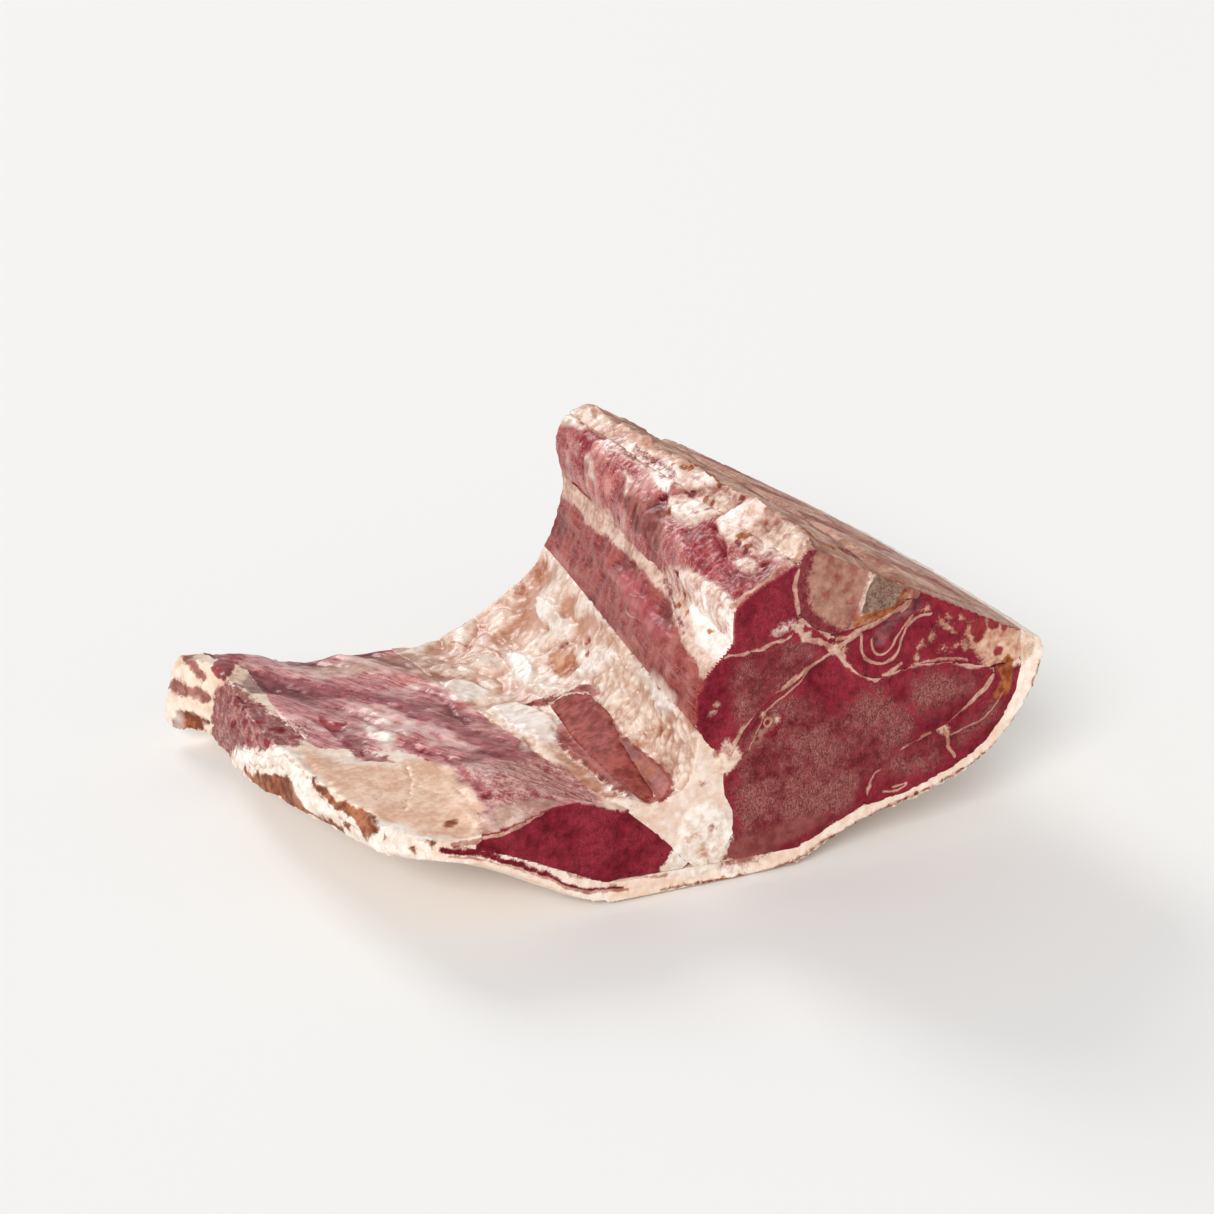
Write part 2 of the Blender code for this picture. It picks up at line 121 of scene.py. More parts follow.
def ramp(value, low, high):
    """Goes softly from 0 at low to 1 at high."""
    share = np.clip((value - low) / (high - low), 0.0, 1.0)
    return share * share * (3.0 - 2.0 * share)


print("a curve through 3 points has", len(curved([(0, 0), (1, 1), (2, 0)])), "points")


# %% Noise
def dice(lattice, seed):
    """A fixed random number from 0 to 1 for each lattice point."""
    n = lattice.astype(np.int64)
    n = n[..., 0] * 374761393 + n[..., 1] * 668265263 + n[..., 2] * 2147483647 + seed * 974711
    n = (n ^ (n >> 13)) * 1274126177
    return ((n ^ (n >> 16)) & 0xFFFFFF) / 0xFFFFFF


def swell(points, size, seed=0):
    """Smooth noise from -1 to 1, with swellings of about this size."""
    place = points / size
    base = np.floor(place)
    share = place - base
    share = share * share * share * (share * (share * 6 - 15) + 10)
    total = np.zeros(len(points))
    for corner in np.ndindex(2, 2, 2):
        weight = np.prod(np.where(corner, share, 1.0 - share), axis=1)
        total += weight * dice(base + np.array(corner), seed)
    return (2.0 * total - 1.0) * 1.5


def rough(points, size, seed=0):
    """Three layers of smooth noise, each half the size of the last."""
    return sum(swell(points, size / 2**i, seed + i) * 0.55**i for i in range(3))


def several(points, size, seeds):
    """Smooth noise in several numbers for each point."""
    return np.stack([swell(points, size, seed) for seed in seeds], axis=1)


def lobes(points, size, seed=0):
    """Packed rounded lobes: 1 at the middle of each lobe and 0 in the creases."""
    place = points / size
    base = np.floor(place)
    first = np.full(len(points), FAR)
    second = first.copy()
    for step in np.ndindex(3, 3, 3):
        cell = base + np.array(step) - 1
        centre = cell + np.stack([dice(cell, seed + i) for i in range(3)], axis=1)
        gap = np.linalg.norm(place - centre, axis=1)
        second = np.minimum(second, np.maximum(first, gap))
        first = np.minimum(first, gap)
    return ramp(second - first, 0.0, 0.55)


print("noise at one place:", swell(np.array([[1.0, 2.0, 3.0]]), 2.0))

# %% [markdown]
# ## The marks on the front cut
#
# The front cut is the face that shows most. Thin cream fascia parts the muscles. The marks
# are tables, because each is a place where the knife met this one animal. An entry is a line
# in (x, z) with its half width and height, or a patch with its layer of paint, height and
# outline. A height below zero lies under the face of the meat.

# %% Lines of fascia on the front cut
# Half width, height, points.
FRONT_LINES = {
    "tenderloin to loin eye": (0.5, 0.15, [(34.8, 54.9), (27.3, 50.6), (22.4, 47.6), (18.4, 45.2),
        (14.6, 42.1), (11.6, 39.4), (9.1, 35.6), (7.8, 33)]),
    "its second strand": (0.22, 0.05, [(28.1, 51.2), (25.6, 48.2), (21, 44.7), (17.2, 41.6),
        (15.5, 38.7), (13, 32.8)]),
    "under the small fillet": (0.35, 0.1, [(5, 56.4), (7.8, 57), (11.1, 56.9), (14.2, 57.7),
        (18, 58.6), (21.3, 59.2), (23.8, 61.6)]),
    "round the bone": (0.42, 0.1, [(25, 77.7), (23.7, 71.7), (23.9, 66.4), (25.1, 63),
        (27.8, 60.2), (31, 58.2), (35.7, 57.3), (39.7, 57.5), (44.9, 58.6), (49.4, 60.3),
        (52.8, 62.4), (54.5, 65.4)]),
    "bone to knot": (0.55, 0.1, [(24.6, 61), (27.1, 57.8), (30.5, 56.9), (33.7, 55.2)]),
    "knot to canal": (0.75, 0.15, [(34.2, 54.8), (37, 56.2), (40.5, 57.3)]),
    "outer swirl": (0.32, 0.1, [(36.8, 55.3), (36.4, 53.4), (37.8, 51.1), (40.1, 48.3),
        (42.9, 46.2), (46.2, 45.4), (49.6, 46.4), (52.2, 48.3)]),
    "middle swirl": (0.45, 0.15, [(41.1, 56.6), (41.4, 53), (43, 50.4), (45.4, 49.2), (47.6, 48.6),
        (49.7, 49.3), (51.2, 51.5), (52, 54), (53.6, 57.4), (56.6, 59.1), (59.8, 59.2)]),
    "inner swirl": (0.32, 0.1, [(43.8, 55.2), (44.4, 52.6), (46.7, 51.2), (49, 52.3), (51.4, 55.9),
        (54.9, 59.6)]),
    "right of the bone": (0.4, 0.1, [(54.7, 65.8), (54.4, 63.2), (52.2, 61)]),
    "main fascia": (0.5, 0.15, [(34.8, 53.6), (37.9, 49.4), (42.2, 46), (45.6, 44.7), (48.8, 45.1),
        (52.3, 46), (56.4, 46.7), (61.5, 46.5), (65.2, 46.2), (69.5, 44.9), (73.8, 43.7),
        (76.9, 43.3)]),
    "main fascia, second strand": (0.2, 0.05, [(55, 47.6), (60, 47.9), (66, 47.3), (71, 45.9)]),
    "tip of the loin eye": (0.5, 0.15, [(76.6, 43.5), (78.6, 41.3), (77, 38.3), (73.7, 35.5),
        (69.7, 32.3), (65.8, 29.9)]),
    "over the rump muscle": (0.32, 0.1, [(65.8, 29.9), (61.5, 28.8), (57.5, 27.5), (53.9, 26.2)]),
    "through the rump muscle": (0.5, 0.1, [(65.8, 28.5), (66.8, 26.2), (67.5, 23.4), (69, 21)]),
    "rump muscle to loin eye": (0.22, 0, [(53.9, 26.2), (50.1, 23.4), (47.3, 20.9), (45.6, 17.8),
        (44.3, 14.6)]),
    "thread in the dark rim": (0.2, 0, [(81.7, 35.4), (78.3, 32), (74.2, 29.1), (70.6, 27.6),
        (67.8, 26.8)]),
    "flap's top edge": (0.55, 0.1, [(-60.5, 23.6), (-56.7, 23.7), (-50.1, 24), (-44.2, 25.3),
        (-39.1, 27.3), (-34.6, 28.6), (-28.3, 27.6), (-21.3, 24.8)]),
    "under the flap's muscle": (0.32, 0.1, [(-60, 22.4), (-50.2, 19.6), (-44.2, 16.7),
        (-39.5, 14.4), (-34.6, 12), (-30.4, 8.9), (-24, 6.6), (-16, 5.8), (-8, 5.2)]),
    "under its thin strip": (0.35, 0.1, [(-61, 20.8), (-50.2, 17.2), (-43, 13.4), (-37, 10),
        (-32, 6.6), (-26, 4.4), (-18, 3.7)]),
}
print(len(FRONT_LINES), "lines of fascia")

# %% Strips of another tissue on the front cut
# Layer, half width, height, points.
FRONT_STRIPS = [
    ("lean", 0.6, -0.1, [(-63, 22.6), (-61.9, 22.2), (-56.1, 20.6), (-50.2, 18.3), (-44.3, 15.2),
        (-38.3, 11.6), (-34.6, 8.8), (-29.7, 5.7), (-24.5, 4.4), (-19.8, 4.2)]),
    ("cream", 0.35, 0.1, [(62, 57.6), (64.6, 55.4), (67, 54.6)]),
    ("cream", 0.3, 0.1, [(66, 49.6), (68.6, 50.6), (70.4, 49.4)]),
    ("lean", 0.35, 0, [(-60, 23), (-54, 21.6), (-47, 19)]),
    ("pale", 0.5, 0, [(14.8, 35), (17, 37.6), (19.9, 39.4)]),
    ("fascia", 0.3, 0.15, [(16.4, 38.9), (17.5, 40), (18.7, 38.9), (17.5, 37.8), (16.4, 38.9)]),
    ("fascia", 0.3, 0, [(49.8, 15.1), (54, 15.4), (55.3, 16.7), (51.7, 16.4)]),
    ("dried", 0.3, 0, [(-9, 1.2), (6, 0.8), (24, 1.6), (36, 6.3), (50, 10.6), (63, 14), (74, 18.2),
        (82.8, 24.6), (88.9, 33.4), (91.8, 42)]),
]
CRACK = [(52, 67.6), (44.6, 71.2), (43.4, 69.5), (41.9, 66.5), (41.3, 64.6), (41, 61.8)]
print(len(FRONT_STRIPS), "strips, and a crack of", len(CRACK), "points in the bone")

# %% Patches and round spots on the front cut
# Layer, height, outline.
FRONT_PATCHES = {
    "tenderloin's core": ("brown", 0, [(11.2, 55), (22, 57.6), (30.6, 54.8), (28, 52.2),
        (19.1, 46.8), (13, 40.8), (9.8, 40.2), (7.6, 46.3), (8.2, 52.3)]),
    "loin eye's core": ("brown", 0, [(12, 35), (19.5, 43), (26, 44), (34, 38.5), (41, 41),
        (47, 41.5), (54, 35), (57, 29.5), (50, 25.5), (44.5, 21), (40, 13.8), (31, 10.2), (22, 8),
        (18, 5.6), (12.4, 4.2), (6.6, 5.2), (6.3, 8.6), (10.6, 13), (10.2, 20), (10, 27)]),
    "loin eye's far side": ("brown", 0, [(56, 43), (66, 43.4), (73, 40.6), (70, 36), (62, 33),
        (57, 36)]),
    "rump muscle's core": ("brown", 0, [(57.5, 26.9), (63, 27.8), (65.4, 25.4), (66, 21.9),
        (62.6, 20), (57.1, 19.2), (51, 19.2), (48.3, 19.6), (49.1, 21.4), (52.6, 25)]),
    "inside the dark rim": ("brown", 0, [(80.9, 34.2), (77.1, 28.6), (72.5, 25.2), (69.2, 23.7),
        (67.3, 26.1), (70.6, 28.1), (75.4, 31.5)]),
    "dark band by the canal": ("plum", -0.2, [(53.4, 66.1), (55.9, 65.7), (57.2, 62), (55.1, 60.1),
        (51.7, 58.2), (49.1, 56.1), (47.6, 53.8), (45.7, 53.3), (44.1, 55.1), (44.8, 57),
        (47.6, 59), (51, 61), (53, 63.7)]),
    "canal": ("grey", -0.6, [(45.2, 71.6), (52.6, 68), (52.1, 66.3), (50.6, 63.8), (48.8, 62.6),
        (46.1, 62), (42.4, 61.6), (41, 62.5), (41.7, 65.9), (42.6, 68.4), (44.4, 69.9)]),
    "bone's blood-red rim": ("lean", 0, [(24, 78), (26.8, 80.5), (28.6, 78.6), (27.2, 74.8),
        (26.8, 71.3), (27.2, 67.6), (28.6, 64.7), (30.7, 62.2), (34.5, 60.2), (38, 59.4),
        (30.8, 58.6), (27, 61), (24.4, 66), (24, 71.5)]),
    "bone's orange edge": ("dried", 0.1, [(39.1, 58.4), (41.4, 60), (46.3, 60), (50.2, 61.4),
        (51.9, 63.6), (53.2, 66.4), (50.9, 66.8), (49.8, 63.6), (46.1, 62.3), (42.1, 61.7),
        (39.8, 61.2)]),
    "fatty corner": ("cream", 0.1, [(69.2, 52.9), (74.9, 55.2), (82.4, 53.4), (90, 50), (88, 43),
        (82.1, 41.8), (77.8, 42.3), (74.7, 45.9), (71.7, 49.2)]),
    "plain foot of the eye": ("meat", 0, [(6.8, 5.4), (12.4, 4), (19, 5.4), (27, 8.6), (34, 11),
        (30, 13.4), (22, 12.6), (16, 11.6), (10.4, 10.8), (7, 8.6)]),
    "knot of fascia": ("cream", 0.3, [(32.6, 55.4), (34.4, 56.3), (36, 54.9), (35.2, 53.3),
        (33.4, 53.7)]),
    "fork in the rump muscle": ("cream", 0.1, [(63.6, 29), (66.4, 29.6), (67, 26.8),
        (66.2, 27.4)]),
    "dried end of the rim": ("dried", 0, [(79.2, 43.1), (82.7, 45.1), (84.4, 41.4), (83.4, 35.9),
        (80.9, 34.5), (78.8, 35.2), (80.6, 39)]),
    "red by the vessel": ("lean", 0, [(15.5, 36.2), (17.5, 39.1), (19.3, 41.3), (21.9, 40.1),
        (20.7, 37), (18.2, 34.9)]),
    "white lump of fat": ("white", 0.5, [(-9, 7), (-6, 13), (-3, 20), (3, 22), (7, 18), (9, 12),
        (5, 5), (-2, 3)]),
    "beside the white fat": ("cream", 0.2, [(6.4, 36.5), (9.5, 34.6), (11, 32), (9, 29.5), (7, 28),
        (4, 30)]),
}
# Layer, radius, places.
FRONT_SPOTS = [
    ("deep", 0.8, [(31.6, 68.3), (32.3, 76.5), (40.2, 75.4), (35.1, 60.9), (38.5, 65.8),
        (37, 69.2), (34, 72)]),
    ("deep", 1.3, [(39.6, 62.4), (39.4, 73.6), (67.4, 55.2), (69.7, 58.4), (63.8, 60.8),
        (74.3, 57.2), (80.6, 52.9), (79.2, 47), (70.9, 56.7), (73.2, 51)]),
    ("deep", 2.3, [(73.4, 53.5)]),
    ("deep", 1.8, [(77.5, 54.1), (66.1, 59.4), (61.5, 62)]),
    ("deep", 1, [(7, 33.6), (4.4, 34.2), (16, 38.6), (17.5, 38.9)]),
    ("deep", 0.6, [(1.1, 26.8), (3.3, 15.2), (14.8, 35.2), (2.6, 6.4)]),
    ("dried", 1.1, [(-1.6, 13.6), (1.8, 9)]),
    ("cream", 1, [(18.6, 61), (20.6, 61.8), (22.8, 62.4), (24.8, 61.4), (26.2, 58.8)]),
    ("cream", 0.6, [(3, 44.1), (4.2, 45.4), (16.2, 41), (20, 39), (56.8, 48.8), (64.8, 57.9),
        (68.4, 57.1), (70.7, 56), (69.9, 51), (58, 60.6), (60.4, 53.6), (63.6, 50.2), (57.4, 52)]),
]
FRONT = (FRONT_LINES, FRONT_STRIPS, FRONT_PATCHES, FRONT_SPOTS)
print(len(FRONT_PATCHES), "patches on the front cut")

# %% [markdown]
# ## The marks on the open side
#
# Here the knife has followed the membranes. A cream tendon crosses the tenderloin, suet
# lies in lobes at its foot, a brown-red leaf of muscle lies on the inner fat, and the
# flap's muscle ends in a smooth pad of fat. The flap's free edge shows white folds with
# dried strips between them, and red and white stripes at its tip. Places are (x + z, y).

# %% Lines and strips on the open side
OPEN_LINES = {
    "vessel on the tenderloin": (0.25, 0.15, [(63.6, -16.2), (60.6, -7.6), (56.4, -8.9),
        (55.7, -20)]),
    "crumbs along the front edge": (0.9, 0.6, [(106.5, -66.6), (100.4, -65.6), (95.4, -64.6),
        (91.2, -66), (83.7, -66.2), (77.1, -66.4)]),
    "thread on the leaf": (0.2, 0.1, [(8, -21), (11, -19), (14, -20.5)]),
    "tendons over the far fat": (0.5, 0.3, [(5, 60), (12, 46), (14, 34)]),
    "first fold of the edge": (0.22, -0.6, [(-71.1, 17.1), (-63.6, 2.4), (-56.6, -8.1),
        (-55.1, -13), (-55.5, -20), (-56.5, -27.1), (-56, -34.4), (-55.7, -42.2), (-54.2, -49.1)]),
    "second fold of the edge": (0.22, -0.6, [(-72.1, 12.9), (-65.7, 0.5), (-59.9, -8.1),
        (-59, -13.3), (-59.4, -20), (-59.9, -26.4)]),
    "crease on the pad": (0.15, -0.35, [(-32.1, -25), (-33.1, -32.1), (-35.7, -38.3),
        (-39.7, -44.7), (-41.3, -47.9)]),
    "long crease on the pad": (0.15, -0.3, [(-44.1, -40.4), (-41.3, -37.1), (-37, -34)]),
    "short crease on the pad": (0.12, -0.25, [(-30, -36.2), (-32.9, -36.9), (-28.8, -43.8),
        (-25.3, -41.8)]),
}
OPEN_STRIPS = [
    ("plum", 1.1, -0.3, [(-54.1, 42.1), (-50.6, 42.5), (-47.2, 37.5), (-42, 34), (-36.3, 31)]),
    ("deep", 0.7, -0.3, [(-57.3, 29.6), (-53.4, 24.4)]),
    ("deep", 0.5, -0.3, [(-43.4, 13), (-41.9, 3), (-40.4, -7.2), (-39.4, -14)]),
    ("deep", 0.5, -0.2, [(-46, 41), (-40.6, 39), (-32.7, 36), (-27.5, 30)]),
    ("pearl", 0.6, 0.1, [(-33.5, 24), (-30.5, 14), (-28.2, 3), (-26.8, -8)]),
    ("pearl", 0.4, 0.1, [(-27, 18), (-24.8, 6), (-22.6, -6), (-20.8, -16)]),
    ("plum", 0.7, -0.3, [(-37, 20), (-34, 12), (-28.9, -4), (-26.2, -18)]),
    ("plum", 1.2, -0.5, [(-29, 27), (-25.8, 21.9), (-23.1, 15.3), (-20.9, 7.3), (-18.2, 1.9),
        (-16.6, -2.9), (-13, -12)]),
    ("plum", 1, -0.5, [(-13.6, 30.4), (-11.9, 21.1), (-11.5, 12.3), (-10.9, 2.7)]),
    ("deep", 0.9, -0.1, [(-30, -12.9), (-25.4, -19.4), (-21.8, -26.8), (-20.4, -38),
        (-20.2, -50)]),
    ("meat", 0.9, 0, [(-50, 63.5), (-38.5, 65.2), (-27.4, 66.5), (-12, 67)]),
    ("flecks", 0.7, 0, [(72, -20), (68.5, -30), (65, -38), (61.5, -46)]),
    ("flecks", 0.6, 0, [(77, 2), (75.6, -12), (76.8, -24)]),
    ("flecks", 0.9, -0.2, [(105.6, 26), (104.4, 12), (104, 0), (99, -4.5)]),
    ("flecks", 0.7, -0.2, [(100, 38), (101.4, 24), (102.2, 10)]),
    ("deep", 0.4, -1, [(106.3, -30.8), (103, -30.7), (100.3, -30.7), (96, -31.1), (95.3, -35.4),
        (91.5, -40.2), (88.9, -44.4)]),
    ("deep", 0.9, -0.1, [(93.7, 47.2), (89, 49.5), (92.2, 59)]),
    ("pearl", 0.7, 0.2, [(95.8, 22.8), (92.9, 17.2), (89.2, 14.7)]),
    ("pearl", 0.8, 0.2, [(93, 46.7), (90.6, 40.1), (87.3, 35.8)]),
    ("pearl", 0.3, 0.3, [(2, -9), (-1, -13), (-2, -18), (-4, -24)]),
]
print(len(OPEN_LINES), "lines and", len(OPEN_STRIPS), "strips on the open side")

# %% Patches on the open side, from the flap's shoulder to the crest and back to its tip
OPEN_PATCHES = {
    "flap's dark shoulder": ("plum", -0.2, [(-51.8, 51.6), (-42.5, 47.1), (-34.9, 38.1),
        (-26.8, 34.1), (-21, 26.8), (-16, 13.4), (-12.7, 4.7), (-9.6, -4.9), (-5.1, -16.3),
        (-2.7, -18.9), (-1, -40), (-8.9, -30.1), (-12.7, -20.9), (-15.7, -8.5), (-18.7, 1.8),
        (-23.6, 12.7), (-28.5, 26.6), (-36.8, 28.5), (-45.3, 32.7), (-55.2, 36.8)]),
    "fibres at the flap's front": ("fibrous", 0, [(-23, -32), (-10.8, -34.6), (-1.9, -28.6),
        (3, -34.9), (5.3, -43.9), (3.1, -56.4), (-1.8, -64.4), (-7.6, -64.9), (-16.9, -65),
        (-25, -64.6), (-25.4, -60.7), (-24.6, -53.6), (-24, -44.8)]),
    "veil over the front of the flap": ("pale", 0.1, [(-34, -64.7), (-26.2, -62.2), (-20.5, -60.4),
        (-14.3, -60.4), (-6.9, -64.6), (-10, -69), (-25.6, -69)]),
    "veil over the far flap": ("pale", 0.2, [(-39, 57.5), (-28.6, 61), (-18.1, 63), (-9.4, 63),
        (-3, 50), (-1.5, 36), (-8, 28), (-12.2, 45), (-18.3, 49), (-28.2, 49.2), (-35.2, 50.1)]),
    "brown below the shine": ("meat", -0.3, [(-40.3, 1.3), (-37.4, -2.6), (-38, -12.8),
        (-35, -18.4), (-33.7, -22.3), (-38.8, -19.4), (-41.7, -14.5), (-42.4, -8)]),
    # A painted highlight: the flap's wet shine, painted as a pale pearl patch.
    "painted shine on the flap": ("pearl", 0.3, [(-34.6, 7.6), (-31.3, 2.5), (-30.1, -7.1),
        (-32.7, -13.2), (-34.2, -8.8), (-34.6, -1.9)]),
    "hole in the flap": ("deep", -0.9, [(-42.4, 15.3), (-40.5, 11), (-37.4, 10.9), (-40, 5.1),
        (-42.8, 6.9)]),
    "leaf and its bed": ("meat", 0.6, [(5.2, -20.5), (9, -13.3), (12.4, -7.4), (17.8, -5.7),
        (23.1, -9.7), (24.9, -17), (24.6, -24.1), (23.6, -29.4), (23, -35.3), (22.4, -43.5),
        (22.8, -49.8), (23.2, -55.7), (22, -62.8), (16.5, -66.8), (10.4, -66.4), (8.3, -62.4),
        (7.8, -55.1), (7, -47), (6.2, -35.6), (5.3, -26.5)]),
    "meat above the leaf": ("meat", 0.2, [(5.7, 6.7), (13.7, 4.9), (19.6, 1.3), (25.3, -0.3),
        (28.4, -4.6), (28.7, -9.8), (24.1, -9.8), (18.1, -5.3), (13.9, -5.9), (12.1, -1.2),
        (9.5, 3.6)]),
    "suet": ("suet", 0.1, [(46, 10.1), (46.8, -8.7), (43, -26.3), (40.8, -42.3), (38.4, -68),
        (33, -68), (22, -68), (22.2, -63.6), (23.4, -55.8), (22.8, -45.2), (24, -31.9),
        (25.4, -20.7), (28.5, -7.3), (27.8, 5.8)]),
    "smooth strip by the suet": ("pearl", 0.5, [(43.1, -24.8), (45.9, -37.4), (44.4, -47.6),
        (41.8, -54.1), (38, -51.6), (36.4, -43.8), (38.3, -36.8), (40, -29.5)]),
    "first pearly lump": ("pearl", 1.2, [(27.3, 6.4), (34.2, 5), (39.6, 1.6), (42.8, -5.7),
        (41, -10.4), (35.8, -6.3), (30, -1.8), (27.1, 3)]),
    "second pearly lump": ("pearl", 1.3, [(40.2, 50), (41.9, 39.5), (40.1, 28.1), (35.4, 25.3),
        (32.9, 33.5), (34.7, 44.3)]),
    "third pearly lump": ("pearl", 1.2, [(15.7, 37.7), (19.8, 31.9), (18.7, 19.9), (12, 15.2),
        (11, 25.7)]),
    "fourth pearly lump": ("pearl", 0.9, [(-3.5, 9.3), (3, 10.1), (8.6, 1), (10.3, -8.6),
        (5.9, -17), (1.8, -18.3), (-1.6, -12.9), (-3.4, -0.6)]),
    "fifth pearly lump": ("pearl", 0.9, [(-8.1, 31), (-1.1, 31.5), (2, 22.7), (-2.6, 16.8),
        (-8.7, 18.9)]),
    "orange patch of the fat": ("dried", -0.4, [(27.6, 21.8), (33.1, 16.7), (31.1, 10.2),
        (24.6, 7.6), (23, 12.4), (24.9, 19.2)]),
    "flap's seam of fat": ("cream", 0.2, [(-3.9, 10.9), (5.7, 6.7), (9.9, -2.8), (8.3, -14.3),
        (2.6, -21.1), (4.2, -32.2), (5.9, -46), (5.9, -56.1), (6.4, -68.1), (1.6, -69), (2, -54.9),
        (1.4, -37.7), (-0.9, -27), (-3.5, -11.6), (-6.9, 4.9)]),
    "tendon": ("cream", 0.4, [(84.5, 66), (83.7, 58.1), (82.7, 50.2), (81.5, 44), (80.7, 32.7),
        (80.3, 23.2), (77.3, 14), (75.6, -1.2), (76, -15.6), (78.4, -32), (80.4, -43.3),
        (80.8, -52.9), (79, -62.3), (76, -69), (55, -69), (56.9, -56.1), (59, -47.6),
        (62.6, -38.4), (67, -26.7), (70.2, -10.6), (71.9, 5.9), (73, 28), (74.4, 45.9),
        (77.5, 56.5), (77.5, 66)]),
    "tendon's white foot": ("white", 0.5, [(76.8, -34.3), (79.8, -43.3), (80.4, -52.9),
        (78.7, -63.4), (76, -68.5), (62, -68.5), (60.8, -61.8), (61.4, -55.4), (64.5, -47.7),
        (69, -40.8), (73.4, -37.7)]),
    "red cheek of the fillet": ("meat", 0, [(88, 20.8), (91.5, -5.9), (86, -14.1), (79.2, -14.7),
        (80.2, -1.7), (84.3, 10.8)]),
    "red cheek of the tenderloin": ("deep", 0, [(68.2, 3.9), (65, -16.3), (58.3, -40.2),
        (53.9, -30.3), (58.8, -8.3), (64, 2)]),
    "red patch at the rib end": ("deep", -0.2, [(96.3, 56.6), (100.9, 55.5), (104.4, 48.5),
        (102.1, 43.8), (99.3, 46.9), (96.2, 46), (93.7, 47.2), (95.1, 51.7)]),
    "knob at the rib end": ("pearl", 0.4, [(99.9, 72), (98.6, 62.7), (102.6, 54.6), (105.4, 48),
        (110.5, 47.8), (117, 56), (117, 72)]),
    "crest": ("pale", 0.2, [(106, 47), (106.8, 22), (106.4, 0), (108.6, -30), (109, -67),
        (122, -67), (122, 66), (115, 66)]),
    "lumps on the crest": ("cream", 0.4, [(104.2, 3.7), (109.2, -7.2), (112.5, -12),
        (111.6, -24.3), (103.1, -30.4), (96, -26.7), (91.1, -15.7), (93.1, -8), (98.1, -3.2)]),
    "first smooth lump": ("pearl", 0.7, [(92.7, -9.1), (96.4, -11), (101, -14.1), (101.9, -22.5),
        (100.5, -27.8), (95.1, -25.8), (93.2, -20.6), (91.2, -14.4)]),
    "second smooth lump": ("pearl", 0.6, [(105.1, -12.2), (107.9, -16), (107, -25.2),
        (105.6, -29.3), (102.5, -27.4), (102.4, -20.9), (103.2, -15.7)]),
    "white ligament": ("white", 0.3, [(105, 40), (106.5, 29), (108, 20), (108.4, 9), (106.2, -3),
        (101.9, -3.9), (96.9, -3.6), (98.5, 6.4), (100.3, 17.7), (99.2, 31.5), (97.9, 37),
        (99.9, 44)]),
    "white knuckle": ("white", 0.5, [(108.9, -4.6), (110.9, -11.1), (108.7, -15.6), (105, -11.3),
        (104.9, -5.8)]),
    "torn meat by the cartilage": ("flecks", -0.2, [(88.6, -20.9), (94.1, -26.1), (96.6, -32.2),
        (92.7, -40.4), (89, -45.9), (88, -55.3), (90, -61.5), (84.8, -66.4), (79.4, -63.2),
        (80.8, -54.1), (80.4, -43.7), (81.6, -36.8), (84.7, -29.9)]),
    "cartilage": ("cream", 0.4, [(99.9, -31.1), (106.3, -31.8), (112.4, -36.2), (111.7, -42.1),
        (112, -49.9), (109.6, -61.4), (109, -68), (101.2, -68), (97.9, -63.7), (96.4, -59),
        (96.4, -51.8), (94.5, -48.6), (93.7, -42.8), (94.3, -37)]),
    "white top of the cartilage": ("white", 0.4, [(99.1, -32.4), (104.8, -32.5), (111.3, -36.1),
        (110.5, -40.5), (106.4, -42.4), (102.4, -41.9), (99, -40.4), (95.4, -38.9),
        (96.3, -35.2)]),
    "smooth end of the cartilage": ("pearl", 0.5, [(104, -45.4), (107.4, -48.6), (109.9, -53.5),
        (109, -61), (106.5, -63.5), (102.7, -61.7), (99.5, -57.7), (98.7, -53.1), (101, -48.5)]),
    "white oval": ("white", 0.7, [(89.4, -48.9), (92.9, -50.5), (93.9, -55.6), (91.5, -59.6),
        (89, -58.2), (87.9, -53.1)]),
    "pad": ("pad", 0.1, [(-52.2, -6.7), (-48.7, -8.4), (-45.8, -15.9), (-41.4, -22.2),
        (-34.5, -24.4), (-30.1, -22.8), (-25.2, -27.2), (-22.8, -33.7), (-22.7, -44.3),
        (-23.2, -54.1), (-24.5, -60.2), (-28.7, -64.7), (-33.4, -68), (-39, -61.3), (-43.9, -55.4),
        (-46.9, -50.9), (-49, -44.4), (-50.9, -37.9), (-52.2, -26.7), (-52.7, -17.5)]),
    "white folds of the edge": ("white", 0.3, [(-71.8, 24.2), (-65.8, 9.7), (-54.7, -5.6),
        (-52.5, -10), (-53.4, -20), (-52.8, -30), (-51, -40), (-47, -51), (-41, -61), (-34, -70),
        (-60, -70), (-68, -50), (-74, -30), (-80, 0), (-84, 24)]),
    "crumbled end of the flap": ("flecks", 0, [(-63.1, 49.5), (-56.4, 41.1), (-55.1, 35.4),
        (-53.2, 25.2), (-53.1, 17.7), (-49.9, 12.1), (-46.6, 6.3), (-51.2, -0.2), (-54.3, -3.7),
        (-61.9, 3.8), (-67.2, 12.6), (-72.6, 25.2), (-80, 30), (-80, 46), (-72, 47.5)]),
    "upper dried strip": ("dried", -0.5, [(-55.1, -20.8), (-53.5, -28.5), (-51.3, -37.6),
        (-48.5, -45.8), (-48.1, -51.9), (-49.5, -54.1), (-53.7, -51.2), (-53.5, -48.6),
        (-53.1, -42.7), (-54.8, -34.5), (-55.8, -26.6)]),
    "lower dried strip": ("dried", -0.5, [(-73.5, 13.2), (-66.9, -1.3), (-60.8, -11.5), (-60, -16),
        (-61.5, -21.8), (-62.6, -26.9), (-60.7, -32.8), (-57.7, -41.5), (-61.7, -37.7),
        (-66.7, -26.3), (-69.1, -15.4), (-71.4, -4)]),
    "upper red stripe of the tip": ("meat", -0.4, [(-62.6, 66), (-60.2, 66.7), (-62.2, 59.6),
        (-60.9, 56), (-63.7, 55.8), (-65.5, 60.4), (-64.8, 64)]),
